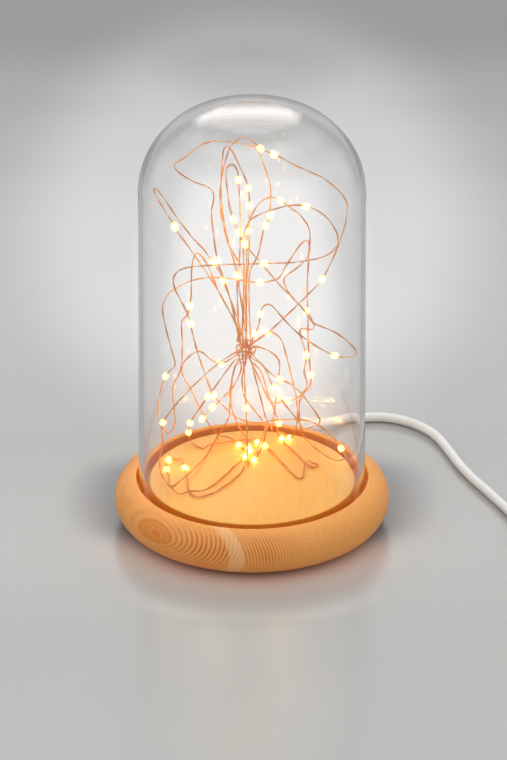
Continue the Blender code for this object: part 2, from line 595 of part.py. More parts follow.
    # the long lobe against the left wall
    route += bunch(0, 4, 82, 88)
    route += [(-6.4, 84.6, 4.5), (-8.6, 90, 5), (-11.6, 95.8, 6), (-15, 101, 7), (-18, 105.6, 8),
              (-21.6, 111, 9), (-24.6, 115.6, 10), (-27.4, 119.8, 11), (-31, 124, 12, 1),
              (-34.4, 128.6, 12), (-38.2, 134.6, 11), (-41.2, 140, 9), (-42.8, 143.4, 6),
              (-41.9, 144.6, 3), (-39.8, 142.4, 1), (-36.8, 138, 0), (-33, 132.2, 0), (-30, 128.2, 0),
              (-26.2, 123.8, 0), (-22.6, 120.6, 0), (-19.8, 117, 0, 1), (-16.8, 112.6, 0),
              (-14.4, 109.4, 0, 1), (-12, 103.6, 0.5), (-9.6, 96.6, 0), (-7.8, 90, -0.4),
              (-4.9, 82, -0.9)]
    # down behind, along the wood to its left front, and back up the middle
    route += bunch(1, 0, 80)
    route += [(-6.6, 68.6, -3), (-8.2, 64, -3), (-9.6, 57.4, -1), (-10, 50.6, 6), (-10.5, 46.2, 18),
              (-12, 42.4, 30), (-15.4, 37, 38), (-19, 31.6, 26.1), (-22, 26, 13.7), (-26, 20.4, 1.3),
              (-30.4, 16.4, -7.5), (-34, 14.9, -10.8), (-36.6, 16.2, -8), (-36.6, 19.6, 0, 1),
              (-38.2, 23.2, 9, 1), (-36, 26.6, 16), (-31, 26.2, 14, 1), (-29, 22, 6), (-28.6, 16, -5),
              (-26.6, 12.4, -16.4), (-23, 10.7, -20.1), (-18, 12, -17.3), (-12.4, 15.4, -9.7),
              (-8, 18.2, -3.5), (-5, 21.4, 3.5), (-3, 24, 9, 1), (0.8, 26.4, 14), (4, 33, 20),
              (5.6, 40, 22), (4, 45.8, 16), (0.2, 49.4, 8), (-2.8, 53.4, 2), (-4.4, 58.6, 0),
              (-4.2, 64.6, -0.6), (-2.7, 69.4, -0.4)]
    # middle lobe on the right and the long flat turn round the left
    route += bunch(1, 2, 80, 90, 106, 118)
    route += [(-3.4, 119.4, -3), (-3.2, 126, -5), (-1.6, 130, -7), (3.6, 133.2, -9), (9, 135.4, -10),
              (16.6, 137, -11, 1), (22, 137, -10), (27, 135.6, -8), (31, 133, -6), (34.6, 129.4, -5),
              (36.6, 125.4, -5), (37, 121, -7), (34.4, 117.4, -10), (30, 114.8, -13), (24, 113.2, -16),
              (18, 112.6, -18), (12, 112.5, -19, 1), (5, 112, -20), (-5, 112, -20), (-15, 111.6, -20),
              (-25, 111, -18), (-30, 109.9, -16), (-33.2, 107.4, -13), (-34, 104.4, -10),
              (-33, 100.6, -8), (-31, 96.6, -7), (-28.4, 91.6, -6, 1), (-26.6, 86, -5), (-25.2, 80, -3),
              (-24, 74.4, 0), (-23, 69.4, 2), (-20.6, 64.8, 3), (-19, 60.4, 3, 1), (-17.2, 55.6, 4),
              (-13.2, 50.6, 8), (-9, 46.8, 16), (-4, 44, 26), (2, 43, 33), (8, 43.2, 36), (14, 43.6, 35),
              (21, 44.4, 32), (26, 43.6, 30), (30, 41.6, 29), (34, 39, 27), (37, 35.4, 23, 1),
              (40, 31, 15), (41, 27.4, 6), (37, 26.6, 4), (30.6, 30.4, 14), (26, 33.6, 24),
              (22.6, 37.6, 30), (20.9, 43, 30), (20.8, 49, 28), (21.8, 55, 25), (25.4, 59, 22, 1),
              (26, 63.6, 20), (25, 69, 18), (24.8, 76, 15), (24.5, 85, 12), (24.3, 95, 9), (24, 104, 7),
              (24, 111, 6), (25, 118, 5), (25.7, 123.6, 4), (24, 129, 3), (21.2, 132.8, 1),
              (17.6, 135.4, -2, 1), (13, 138.8, -3), (9, 140.6, -3), (5, 139.7, -3), (2, 136.8, -3.6),
              (-0.8, 132, -3.6, 1), (-2.4, 126.4, -2.6)]
    # down the bunch, out to the right and back to the wood
    route += bunch(1, 1, 124, 110, 94, 82)
    route += [(0.8, 75.8, -1.4), (3.4, 75.8, -0.4), (6, 74.8, 0.6), (9.4, 73.2, 2), (11.8, 70.2, 3),
              (11.6, 63, 5, 1), (10.6, 56.4, 8), (10, 50.4, 12), (9.4, 46, 18), (8.6, 40.6, 28),
              (11.4, 37, 35, 1), (16, 35.4, 33), (19, 39, 31), (20, 47, 26), (19.4, 55, 20),
              (17.2, 63.6, 14), (15.2, 70, 11), (14.2, 75.6, 9), (12.6, 79.6, 8, 1), (8.6, 82.6, 6),
              (4, 81.4, 5), (0, 77.8, 3.6)]
    # right fan, the low side of the right lobe and the second flat turn round the left
    route += bunch(1, 3, 84)
    route += [(-1, 72, 3.4), (2.2, 66.6, 6), (5.4, 59, 9), (8.4, 52.8, 10, 1), (12, 52.4, 9),
              (17, 52.8, 6), (21, 55, 2), (24, 60, -2), (22.6, 66, -4, 1), (23.6, 72, -6), (22, 78, -4),
              (21, 84, -2), (26.8, 84, 0, 1), (25, 90, 1), (20.4, 94.4, 2), (15.2, 101, 2), (14, 106, 0),
              (19.6, 110.6, -2), (23.4, 114, -2), (25, 118.6, -1), (23.8, 122.6, 0.6), (20, 119.6, 2),
              (15, 112, 3), (11.6, 106.2, 4, 1), (7.6, 104.8, 5), (3, 104.2, 6), (-3, 104.6, 7),
              (-12, 106.2, 9), (-20, 106.6, 10), (-26, 105.2, 9), (-30, 103.2, 7), (-34.2, 101, 4),
              (-36.2, 99.4, 1), (-37.6, 97.2, -1), (-38.8, 93.8, -3), (-38.6, 89, -4), (-37.4, 83, -4),
              (-35.4, 76.8, -4), (-34.2, 72, -4), (-33.4, 68.4, -3, 1), (-36.4, 65.6, -1), (-38.9, 61, 2),
              (-40.6, 55, 4), (-40.9, 48.6, 4), (-40.4, 43.6, 4), (-38, 39.6, 8), (-36.4, 38.4, 14),
              (-34, 43, 18), (-35.4, 52, 18), (-34.6, 60, 16), (-31.4, 66, 12), (-30.9, 74, 9),
              (-30.4, 82, 6), (-30.6, 87.4, 4, 1), (-27.6, 91, 3), (-26.6, 98, 2), (-25.6, 107, 1),
              (-26, 113, 2), (-24, 117, 3.4), (-20, 113, 4), (-17, 106.6, 4), (-14, 99.6, 4),
              (-12, 94, 3.6), (-9, 89, 3), (-5.6, 84.6, 2.8)]
    # the tie round the bunch and the free end
    route += wound_tie()
    route += [(-4.6, 67, 6.5), (-7.4, 60, 8), (-11.4, 55.4, 9, 1), (-15.4, 51.2, 11), (-19.4, 48.4, 12),
              (-21.9, 44.8, 13, 1)]
    return route


def string_places():
    """The readings as true places, fitted to this glass's bore and height, and which of them are LEDs."""
    across = bore_r / READ_BORE_R
    inside_top = shoulder_z + SHOULDER_R - DOME_WALL
    up = (inside_top - plateau_z) / (READ_CROWN_Z - READ_PLATEAU_Z)
    places = []
    leds = []
    solder = (STRING_HOLE[0], board_edge - SOLDER_INSET, board_under - WIRE_R)
    run = board_under - WIRE_R
    below = (roof_z + run) / 2
    hole_x, hole_y = STRING_HOLE
    for place in (solder, (hole_x, board_edge + 2 * MM, run), (hole_x, hole_y - 2 * MM, below),
                  (hole_x, hole_y, roof_z + 2 * MM), (hole_x, hole_y, plateau_z)):
        places.append(np.array(place))
        leds.append(0)
    for reading in string_readings():
        x, seen_up, y = (value * MM for value in reading[:3])
        z = (seen_up - y * math.sin(READ_TILT)) / math.cos(READ_TILT)
        places.append(np.array((x * across, y * across, plateau_z + (z - READ_PLATEAU_Z) * up)))
        leds.append(reading[3] if len(reading) > 3 else 0)
    return places, leds


def glass_reach(z):
    """Inside radius of the glass at each height."""
    rise = np.clip((z - shoulder_z) / (SHOULDER_R - DOME_WALL), 0, 1)
    return crown_r + (bore_r - crown_r) * np.sqrt(1 - rise ** 2)


def nearest_on_segments(p1, q1, p2, q2):
    """For pairs of segments: the shares along each where they come closest."""
    d1, d2, r = q1 - p1, q2 - p2, p1 - p2
    a, e, f = (d1 * d1).sum(1), (d2 * d2).sum(1), (d2 * r).sum(1)
    c, b = (d1 * r).sum(1), (d1 * d2).sum(1)
    spread = a * e - b * b
    flat = spread < 1e-18
    s = np.where(flat, 0.5, np.clip((b * f - c * e) / np.where(flat, 1, spread), 0, 1))
    t = np.clip((b * s + f) / e, 0, 1)
    s = np.clip((b * t - c) / a, 0, 1)
    return s, t


def close_pairs(points, radii, reach, apart):
    """Pairs of the string's segments that may come within reach of each other."""
    middles = (points[1:] + points[:-1]) / 2
    halves = np.linalg.norm(points[1:] - points[:-1], axis=1) / 2
    lengths = run_lengths(points)
    tree = kdtree.KDTree(len(middles))
    for i, middle in enumerate(middles):
        tree.insert(middle, i)
    tree.balance()
    pairs = []
    for i, middle in enumerate(middles):
        for _, j, distance in tree.find_range(middle, halves[i] + halves.max() + reach):
            if j > i and lengths[j] - lengths[i + 1] > apart and distance < halves[i] + halves[j] + reach:
                pairs.append((i, j))
    first, second = np.array(pairs).T
    thick = np.maximum(radii[:-1], radii[1:])
    return first, second, thick[first] + thick[second]


def pair_gaps(points, first, second):
    """Where each pair comes closest, as shares along both, and the vector between those places."""
    s, t = nearest_on_segments(points[first], points[first + 1], points[second], points[second + 1])
    near_1 = points[first] + (points[first + 1] - points[first]) * s[:, None]
    near_2 = points[second] + (points[second + 1] - points[second]) * t[:, None]
    return s, t, near_1 - near_2


def spread_strands(points, radii, held):
    """Ease the strands apart until no two touch, and keep them off the glass and the wood.

    The first held points, in the base, stay where they are.
    """
    apart = 6 * WIRE_R
    want = WIRE_GAP + 0.05 * MM
    for turn in range(90):
        if turn % 6 == 0:
            first, second, thick = close_pairs(points, radii, 2 * BEAD_R + want + 1 * MM, apart)
        s, t, between = pair_gaps(points, first, second)
        distance = np.linalg.norm(between, axis=1)
        crossed = distance < 0.05 * MM
        between[crossed] = (0, 0, 0.05 * MM)
        distance[crossed] = 0.05 * MM
        short = np.maximum(thick + want - distance, 0)
        push = between / distance[:, None] * (0.55 * short)[:, None]
        move = np.zeros_like(points)
        ends = ((first, 1 - s, 1), (first + 1, s, 1), (second, 1 - t, -1), (second + 1, t, -1))
        for index, share, sign in ends:
            np.add.at(move, index, sign * share[:, None] * push)
        size = np.linalg.norm(move, axis=1, keepdims=True)
        move *= np.minimum(1, 0.5 * MM / np.maximum(size, 1e-9))
        move[:held] = 0
        points = points + move
        air = radii[held:] + GAP
        free = points[held:]
        free[:, 2] = np.maximum(free[:, 2], plateau_z + air)
        flat = np.hypot(free[:, 0], free[:, 1])
        room = glass_reach(free[:, 2] + air) - air - 0.7 * MM
        free[:, :2] *= np.minimum(1, room / np.maximum(flat, 1e-9))[:, None]
        points[held:] = free
    first, second, thick = close_pairs(points, radii, 2 * BEAD_R + 1 * MM, apart)
    _, _, between = pair_gaps(points, first, second)
    return points, (np.linalg.norm(between, axis=1) - thick).min()


def build_string():
    """One wire with a swelling at each LED."""
    steps = 10
    bend = math.radians(30)
    shortest = 4 * WIRE_R
    longest = 17 * MM
    places, leds = string_places()
    path = smooth_path(places, steps)
    lengths = run_lengths(path)
    half = BEAD_LENGTH / 2
    led_at = [min(lengths[i * steps], lengths[-1] - half) for i, led in enumerate(leds) if led]
    heading = np.diff(path, axis=0)
    heading /= np.linalg.norm(heading, axis=1)[:, None]
    stations = [0.0]
    turned_by = 0.0
    for k in range(1, len(path) - 1):
        turned_by += math.acos(max(-1.0, min(1.0, float(heading[k - 1] @ heading[k]))))
        since = lengths[k] - stations[-1]
        if since >= longest or k == 4 * steps or (turned_by >= bend and since >= shortest):
            stations.append(lengths[k])
            turned_by = 0.0
    stations.append(lengths[-1])
    clear = half + 0.6 * MM
    marks = [(s, 1.0) for s in stations if all(abs(s - led) > clear for led in led_at)]
    for led in led_at:
        marks += [(led - half, 1.0), (led, BEAD_R / WIRE_R), (led + half, 1.0)]
    marks.sort()
    points = along(path, [s for s, _ in marks])
    swell = [w for _, w in marks]
    held = sum(s <= lengths[4 * steps] + 1e-9 for s, _ in marks)
    points, least = spread_strands(points, np.array(swell) * WIRE_R, held)
    print(f"light_string: {len(led_at)} LEDs, {run_lengths(points)[-1]:.2f} m of wire, least gap to itself "
          f"{least / MM:.2f} mm")
    return tube("light_string", [tuple(p) for p in points], WIRE_R, COPPER, 0, swell)


coil_pitch = 2 * LEAD_R + COIL_AIR
coil_low = TIE_THICK + GAP + LEAD_R
coil_high = coil_low + coil_pitch
coil_half = COIL_TURNS + 0.25      # the spiral runs in for so many turns and out for as many
coil_out = COIL_MEAN_R + coil_half * coil_pitch / 2
plug_x = COIL_CENTRE[0] + coil_out
plug_z = PLUG_LIFT + PLUG_BODY[2] / 2


def coil_radius(turn):
    """Radius of the coil after so many turns: steadily in, then steadily out."""
    return coil_out - coil_pitch * (coil_half - abs(turn - coil_half))


def coil_point(turn):
    """Place on the coil's middle line. It climbs in the half turn in which the spiral reverses."""
    angle = math.pi + 2 * math.pi * turn
    climb = min(max((turn - COIL_TURNS) / 0.5, 0), 1)
    climb = climb * climb * (3 - 2 * climb)
    r = coil_radius(turn)
    return (COIL_CENTRE[0] + r * math.cos(angle), COIL_CENTRE[1] + r * math.sin(angle),
            coil_low + climb * (coil_high - coil_low))


def build_coil():
    """Two layers of turns that lie on the surface, spiralling in and out again, with a tie."""
    turns = 2 * coil_half
    straight = 2 * LEAD_R
    points = [coil_point(k / COIL_STEPS) for k in range(int(turns * COIL_STEPS) + 1)]
    start, end = points[0], points[-1]
    points.insert(0, (start[0], start[1] + straight, start[2]))
    points.append((end[0], end[1] + straight, end[2]))
    path = np.array(points)
    radii = np.full(len(path), LEAD_R)
    first, second, thick = close_pairs(path, radii, coil_pitch, 4 * LEAD_R)
    _, _, between = pair_gaps(path, first, second)
    least = (np.linalg.norm(between, axis=1) - thick).min()
    print(f"usb_cable_coil: {turns} turns, {run_lengths(path)[-1]:.2f} m, least gap to itself "
          f"{least / MM:.2f} mm")
    tube("usb_cable_coil", points, LEAD_R, WHITE_CABLE, 1)

    # The tie is a flat band round both layers where the coil is farthest back.
    near = coil_radius(COIL_TURNS - 0.25) - LEAD_R - TIE_AIR
    far = coil_radius(0.75) + LEAD_R + TIE_AIR
    low = coil_low - LEAD_R - GAP
    high = coil_high + LEAD_R + GAP
    curve = bpy.data.curves.new("coil_tie", "CURVE")
    curve.dimensions = "2D"
    curve.fill_mode = "BOTH"
    curve.extrude = TIE_WIDTH / 2
    for grow, corner in ((TIE_THICK, 1.5 * MM), (0, 0.7 * MM)):
        outline = []
        for cx, cy, angle in ((far, high, 0), (near, high, 90), (near, low, 180), (far, low, 270)):
            out_x = 1 if cx == far else -1
            out_y = 1 if cy == high else -1
            centre = (cx + out_x * (grow - corner), cy + out_y * (grow - corner))
            outline += arc(centre, corner, angle, angle + 90, 3)
        spline = curve.splines.new("POLY")
        spline.use_cyclic_u = True
        spline.points.add(len(outline) - 1)
        for point, (x, y) in zip(spline.points, outline):
            point.co = (x, y, 0, 1)
    # its own X points from the coil's centre to the back, its own Y up
    add("coil_tie", curve, TIE_WHITE, None, (COIL_CENTRE[0], COIL_CENTRE[1], 0),
        (math.radians(90), 0, math.radians(90)))


def build_free_lead():
    """The stretch that the photograph shows, and the short one from the coil to the plug."""
    start = coil_point(0)
    coil_mouth = start[1] + 2 * LEAD_R + GAP
    route = [lead_point(relief_back + GAP), lead_point(nose_at_lead), lead_point(relief_tip + 1 * MM)]
    route += [(x * MM, y * MM, z * MM) for x, y, z in (
        (23.2, 69.2, 8.8), (26.2, 73.9, 7.5), (29.6, 78.9, 6.0), (33.6, 84.0, 4.6), (39.9, 90.0, 3.2),
        (49.0, 94.6, 2.3), (58.0, 95.4, 2.2), (67.0, 92.2, 2.2), (74.8, 86.2, 2.2), (81.0, 78.0, 2.2),
        (85.9, 66.4, 2.2), (90.8, 51.8, 2.2), (96.7, 37.4, 2.2), (103.3, 24.3, 2.2), (110.0, 10.3, 2.3),
        (114.7, -0.5, 2.6), (117.7, -9.5, 2.9))]
    route += [(start[0], coil_mouth + 1.5 * MM, start[2]), (start[0], coil_mouth, start[2])]
    path = smooth_path(route, 8)
    total = run_lengths(path)[-1]
    points = along(path, np.linspace(0, total, 44))
    tube("usb_cable", points, LEAD_R, WHITE_CABLE, 2)

    last = coil_point(2 * coil_half)
    first_y = last[1] + 2 * LEAD_R + GAP
    end_y = PLUG_BACK_Y - GAP
    relief_y = end_y - PLUG_RELIEF_LENGTH
    route = [(last[0], first_y, last[2]), (last[0], first_y + 2 * MM, last[2])]
    for share in (0.3, 0.55, 0.8):
        drop = last[2] + (plug_z - last[2]) * share
        route.append((plug_x, first_y + (relief_y - first_y) * (0.1 + 0.75 * share), drop))
    route += [(plug_x, relief_y, plug_z), (plug_x, end_y, plug_z)]
    tail = smooth_path(route, 6)
    tail_length = run_lengths(tail)[-1]
    tube("usb_cable_tail", along(tail, np.linspace(0, tail_length, 14)), LEAD_R, WHITE_CABLE, 2)
    print(f"usb_cable: {total:.3f} m, usb_cable_tail: {tail_length:.3f} m")


def build_plug():
    """A moulded plug that lies flat beside the coil and points back."""
    front = PLUG_BACK_Y + PLUG_BODY[1]
    relief = [(sleeve_r, PLUG_RELIEF_LENGTH), (RELIEF_R, PLUG_RELIEF_LENGTH), (RELIEF_TIP_R - 0.1 * MM, 0),
              (sleeve_r, 0)]
    turned("plug_relief", relief, 20, WHITE_CABLE, True, None,
           (plug_x, PLUG_BACK_Y - GAP - PLUG_RELIEF_LENGTH, plug_z), LIE_BACK)
    body = block("plug_body", PLUG_BODY, (plug_x, PLUG_BACK_Y + PLUG_BODY[1] / 2, plug_z), WHITE_CABLE)
    soften(body, 1.6 * MM, 3)

    # The shell is an open box whose front is left off, thickened inwards.
    mesh = bpy.data.meshes.new("plug_shell")
    bm = bmesh.new()
    bmesh.ops.create_cube(bm, size=1.0)
    bmesh.ops.scale(bm, vec=SHELL_SIZE, verts=bm.verts)
    bmesh.ops.delete(bm, geom=[f for f in bm.faces if f.normal.y > 0.5], context="FACES_ONLY")
    bm.to_mesh(mesh)
    bm.free()
    shell_y = front + GAP + SHELL_SIZE[1] / 2
    shell = add("plug_shell", mesh, NICKEL, None, (plug_x, shell_y, plug_z))
    wall = shell.modifiers.new("wall", "SOLIDIFY")
    wall.thickness = SHELL_WALL
    wall.offset = -1
    wall.use_even_offset = True
    for k, side in enumerate((-1, 1)):
        window = (*SHELL_WINDOW, 4 * SHELL_WALL)
        place = (plug_x + side * SHELL_WINDOW_APART / 2, shell_y, plug_z + SHELL_SIZE[2] / 2)
        cut(shell, block(f"shell_window_{k}", window, place, NICKEL))

    inner_w = SHELL_SIZE[0] - 2 * SHELL_WALL - 2 * GAP
    inner_l = SHELL_SIZE[1] - SHELL_WALL - GAP - 0.5 * MM
    floor = plug_z - SHELL_SIZE[2] / 2 + SHELL_WALL + GAP
    tongue_y = front + GAP + SHELL_WALL + GAP + inner_l / 2
    tongue_place = (plug_x, tongue_y, floor + TONGUE_THICK / 2)
    block("plug_tongue", (inner_w, inner_l, TONGUE_THICK), tongue_place, WHITE_CABLE)
    for k in range(4):
        x = plug_x + (k - 1.5) * CONTACT_PITCH
        z = floor + TONGUE_THICK + GAP + CONTACT_SIZE[2] / 2
        block(f"plug_contact_{k + 1}", CONTACT_SIZE, (x, tongue_y, z), GOLD)


build_base()
build_dome()
build_underside()
build_lead_inside()
build_string()
build_coil()
build_free_lead()
build_plug()

for part in PARTS.objects:
    if part.type == "MESH":
        part.data.shade_smooth()
bpy.context.view_layer.update()
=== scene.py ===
"""Looks of the glass cloche light: clear bell, turned pine base, LED string and white lead."""

import math

import bmesh
import bpy
import numpy as np
from mathutils import Matrix, Vector, kdtree


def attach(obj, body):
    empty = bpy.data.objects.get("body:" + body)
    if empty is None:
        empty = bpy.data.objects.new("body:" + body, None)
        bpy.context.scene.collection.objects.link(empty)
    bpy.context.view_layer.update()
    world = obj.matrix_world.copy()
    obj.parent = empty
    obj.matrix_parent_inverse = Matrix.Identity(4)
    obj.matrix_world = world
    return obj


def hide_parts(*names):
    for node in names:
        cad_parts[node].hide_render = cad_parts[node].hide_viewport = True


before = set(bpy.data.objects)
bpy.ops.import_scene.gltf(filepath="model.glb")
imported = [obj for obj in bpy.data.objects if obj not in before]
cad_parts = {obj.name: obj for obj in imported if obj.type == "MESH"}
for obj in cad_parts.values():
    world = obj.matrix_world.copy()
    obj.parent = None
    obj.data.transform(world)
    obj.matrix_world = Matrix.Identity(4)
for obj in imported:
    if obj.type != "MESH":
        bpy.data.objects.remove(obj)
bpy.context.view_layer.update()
MM = 0.001

# Camera
LOOK_DOWN = math.radians(26.85)
CAMERA_AWAY = 6.0
CAMERA_LENS = 652
AIM = (0.65 * MM, 0, 69 * MM)

# Pine base
BASE_R = 60 * MM
NOSE_R = 10.5 * MM
NOSE_Z = 12 * MM
BASE_BOTTOM = 1.5 * MM
PLATEAU_R = 45 * MM
PLATEAU_FLAT_R = 30 * MM
PLATEAU_Z = 21.7 * MM
GROOVE_R = 50.7 * MM
GROOVE_Z = 16.5 * MM
WOOD_EASE = 0.6 * MM
LEDGE_R = 36 * MM
LEDGE_Z = 4.4 * MM
RECESS_R = 27 * MM
ROOF_Z = 12.5 * MM
STRING_HOLE = (-2 * MM, 15 * MM)
STRING_HOLE_R = 2 * MM
STRING_HOLE_LENGTH = 14 * MM
STRING_HOLE_Z = 17 * MM
PILOT_R = 1.6 * MM
PILOT_LENGTH = 9.6 * MM
PILOT_Z = 8 * MM
PILOT_CIRCLE_R = 31.5 * MM

# Feet
FOOT_R = 5 * MM
FOOT_HIGH = 1.2 * MM
FOOT_EASE = 0.35 * MM
FOOT_HOLLOW_R = 3.4 * MM
FOOT_HOLLOW = 0.15 * MM
FOOT_CIRCLE_R = 42.5 * MM

# Glass bell
BELL_R = 49.5 * MM
BELL_WALL = 2 * MM
BELL_LOW = 16.8 * MM
SHOULDER_R = 36 * MM
SHOULDER_Z = 160.2 * MM
CROWN_R = BELL_R - SHOULDER_R
CROWN_LIFT = 0.6 * MM
CROWN_RING = 49.2            # degrees up the shoulder where the crown's faint ring lies
RING_SPREAD = 24             # degrees over which it rises
CROWN_START = 84             # degrees up the shoulder where the flat crown begins

# Lead
LEAD_R = 2.1 * MM
LEAD_Z = 9.6 * MM
LEAD_TURN = math.radians(18)
LEAD_HOLE_R = LEAD_R + 0.4 * MM
LEAD_HOLE_LENGTH = 39 * MM
LEAD_HOLE_BACK = 42 * MM     # how far behind the base's axis the middle of the hole lies
RELIEF_BACK = 51.22 * MM
RELIEF_SEAT = 8.5 * MM
RELIEF_OUT = 7.5 * MM
RELIEF_R = 3.5 * MM
RELIEF_HOLE_R = RELIEF_R + 0.3 * MM
RELIEF_HOLE_LENGTH = 15 * MM
RELIEF_HOLE_BACK = RELIEF_BACK + 7.2 * MM
SLEEVE_R = 2.4 * MM
NOSE_AT_LEAD = 59.72 * MM
COIL_CENTRE = (152 * MM, -22 * MM)
COIL_TURNS = 4               # turns on the table, before the climb to the second layer
COIL_HALF = 4.25             # half of all the turns
COIL_PITCH = 4.8 * MM
COIL_OUT = 33.3 * MM
COIL_LOW = 3.2 * MM
COIL_HIGH = 8.0 * MM
COIL_STEPS = 40
PLUG_X = 185.3 * MM
PLUG_Z = 3.9 * MM
PLUG_BACK_Y = 27 * MM
PLUG_BODY = (16 * MM, 22 * MM, 7.6 * MM)
FINGER_RIB = (0.6 * MM, 1.0 * MM, 4.4 * MM)
PLUG_RELIEF_LENGTH = 10 * MM
PLUG_RELIEF_Y = PLUG_BACK_Y - 0.3 * MM - PLUG_RELIEF_LENGTH

# Light string
WIRE_R = 0.4 * MM            # room that the twin wires take
STRAND_R = 0.2 * MM
STRAND_SHIFT = 0.2 * MM
STRAND_TURNS = 45            # turns of the twin wires in a metre
STRING_STEP = 1.3 * MM
BEAD_R = 1.5 * MM
BEAD_LENGTH = 4.0 * MM
BEAD_FLAT = 0.92
CHIP = (1.6 * MM, 0.8 * MM, 0.5 * MM)
PARTING = 0.2 * MM           # how far the twin wires part round a chip
PARTING_REACH = 1.3 * MM
STATION_STEP = 17 * MM       # the longest step between the string's stations
STATION_BEND = math.radians(30)
WIRE_GAP = 0.45 * MM
SPREAD_TURNS = 90
PUSH = 0.55                  # share of a lacking gap that each strand gives way in one turn
LONGEST_MOVE = 0.5 * MM
TINY = 0.05 * MM
GLASS_AIR = 0.3 * MM
SOLDER_Y = -1.5 * MM
BOARD_UNDER = 9.4 * MM
BUNCH = (-2.6, 0.5)          # middle and pitch of the tied bunch, in millimetres as the readings are
BUNCH_PITCH = 1.35


def add_object(name, data):
    """A new object in the scene."""
    obj = bpy.data.objects.new(name, data)
    bpy.context.scene.collection.objects.link(obj)
    return obj


def make_camera():
    """A long lens that looks down at the bell."""
    lens = bpy.data.cameras.new("camera")
    lens.lens = CAMERA_LENS
    lens.clip_end = 50
    camera = add_object("camera", lens)
    away = Vector((0, -math.cos(LOOK_DOWN), math.sin(LOOK_DOWN))) * CAMERA_AWAY
    camera.location = Vector(AIM) + away
    camera.rotation_euler = (math.pi / 2 - LOOK_DOWN, 0, 0)
    bpy.context.scene.camera = camera


def between(a, b, start, stop, t):
    """The place at t on the way from a, at start, to b, at stop."""
    return (a * (stop - t) + b * (t - start)) / (stop - start)


def smooth_path(points, steps):
    """A smooth curve through the route's own points (centripetal Catmull-Rom)."""
    route = [np.array(p, float) for p in points]
    route = [2 * route[0] - route[1], *route, 2 * route[-1] - route[-2]]
    path = []
    for four in zip(route, route[1:], route[2:], route[3:]):
        at = [0.0]
        for a, b in zip(four, four[1:]):
            at.append(at[-1] + math.sqrt(np.linalg.norm(b - a)))
        for t in np.linspace(at[1], at[2], steps, endpoint=False):
            a1, a2, a3 = (between(four[k], four[k + 1], at[k], at[k + 1], t) for k in range(3))
            b1, b2 = between(a1, a2, at[0], at[2], t), between(a2, a3, at[1], at[3], t)
            path.append(between(b1, b2, at[1], at[2], t))
    path.append(route[-2])
    return np.array(path)


def run_lengths(path):
    """Distance along a path to each of its points."""
    steps = np.linalg.norm(np.diff(path, axis=0), axis=1)
    return np.concatenate([[0.0], np.cumsum(steps)])


def along(path, distances):
    """Points at the given distances along a path."""
    lengths = run_lengths(path)
    return np.stack([np.interp(distances, lengths, path[:, k]) for k in range(3)], axis=1)


def wire(name, paths, radius, sides, material):
    """A curve with one spline for each path, round and capped."""
    curve = bpy.data.curves.new(name, "CURVE")
    curve.dimensions = "3D"
    curve.bevel_depth = radius
    curve.bevel_resolution = (sides - 4) // 2
    curve.use_fill_caps = True
    for path in paths:
        spline = curve.splines.new("POLY")
        spline.points.add(len(path) - 1)
        for point, at in zip(spline.points, path):
            point.co = (*at, 1.0)
        spline.use_smooth = True
    curve.materials.append(material)
    return add_object(name, curve)


def lead_point(distance):
    """A place on the lead's bore, by its distance from the base's axis."""
    return (distance * math.sin(LEAD_TURN), distance * math.cos(LEAD_TURN), LEAD_Z)


def coil_point(turn):
    """Place on the coil's middle line: steadily in, up one layer, and steadily out."""
    angle = math.pi + 2 * math.pi * turn
    climb = min(max((turn - COIL_TURNS) / 0.5, 0), 1)
    climb = climb * climb * (3 - 2 * climb)
    r = COIL_OUT - COIL_PITCH * (COIL_HALF - abs(turn - COIL_HALF))
    return (COIL_CENTRE[0] + r * math.cos(angle), COIL_CENTRE[1] + r * math.sin(angle),
            COIL_LOW + climb * (COIL_HIGH - COIL_LOW))


def lead_path():
    """The lead's whole line: out of the base, over the table, round the coil and into the plug."""
    straight = 4.5 * MM                 # how far the lead runs straight before and after the coil
    x, y, z = coil_point(0)
    route = [lead_point(RELIEF_BACK + 0.3 * MM), lead_point(NOSE_AT_LEAD),
             lead_point(RELIEF_BACK + 17 * MM)]
    route += [(a * MM, b * MM, c * MM) for a, b, c in (
        (23.2, 69.2, 8.8), (26.2, 73.9, 7.5), (29.6, 78.9, 6.0), (33.6, 84.0, 4.6), (39.9, 90.0, 3.2),
        (49.0, 94.6, 2.3), (58.0, 95.4, 2.2), (67.0, 92.2, 2.2), (74.8, 86.2, 2.2), (81.0, 78.0, 2.2),
        (85.9, 66.4, 2.2), (90.8, 51.8, 2.2), (96.7, 37.4, 2.2), (103.3, 24.3, 2.2), (110.0, 10.3, 2.3),
        (114.7, -0.5, 2.6), (117.7, -9.5, 2.9))]
    route += [(x, y + 6 * MM, z), (x, y + straight, z)]
    free = smooth_path(route, 8)
    coil = [coil_point(k / COIL_STEPS) for k in range(int(2 * COIL_HALF * COIL_STEPS) + 1)]
    x, y, z = coil_point(2 * COIL_HALF)
    y += straight
    route = [(x, y, z), (x, y + 2 * MM, z)]
    for share in (0.3, 0.55, 0.8):
        route.append((PLUG_X, y + (PLUG_RELIEF_Y - y) * (0.1 + 0.75 * share), z + (PLUG_Z - z) * share))
    route += [(PLUG_X, PLUG_RELIEF_Y, PLUG_Z), (PLUG_X, PLUG_BACK_Y - 0.3 * MM, PLUG_Z)]
    return np.concatenate([free, coil, smooth_path(route, 6)])


# The light string's route. Each reading is (across, up, back) in millimetres: across and up as the
# camera sees them, and back is the depth behind the base's axis. A fourth value of 1 marks an LED.
# Heights given to seen() and bunch() are true ones.
def seen(x, y, z, led=0):
    """A reading for a place whose true height is known, in millimetres."""
    return (x, z * math.cos(LOOK_DOWN) + y * math.sin(LOOK_DOWN), y, led)


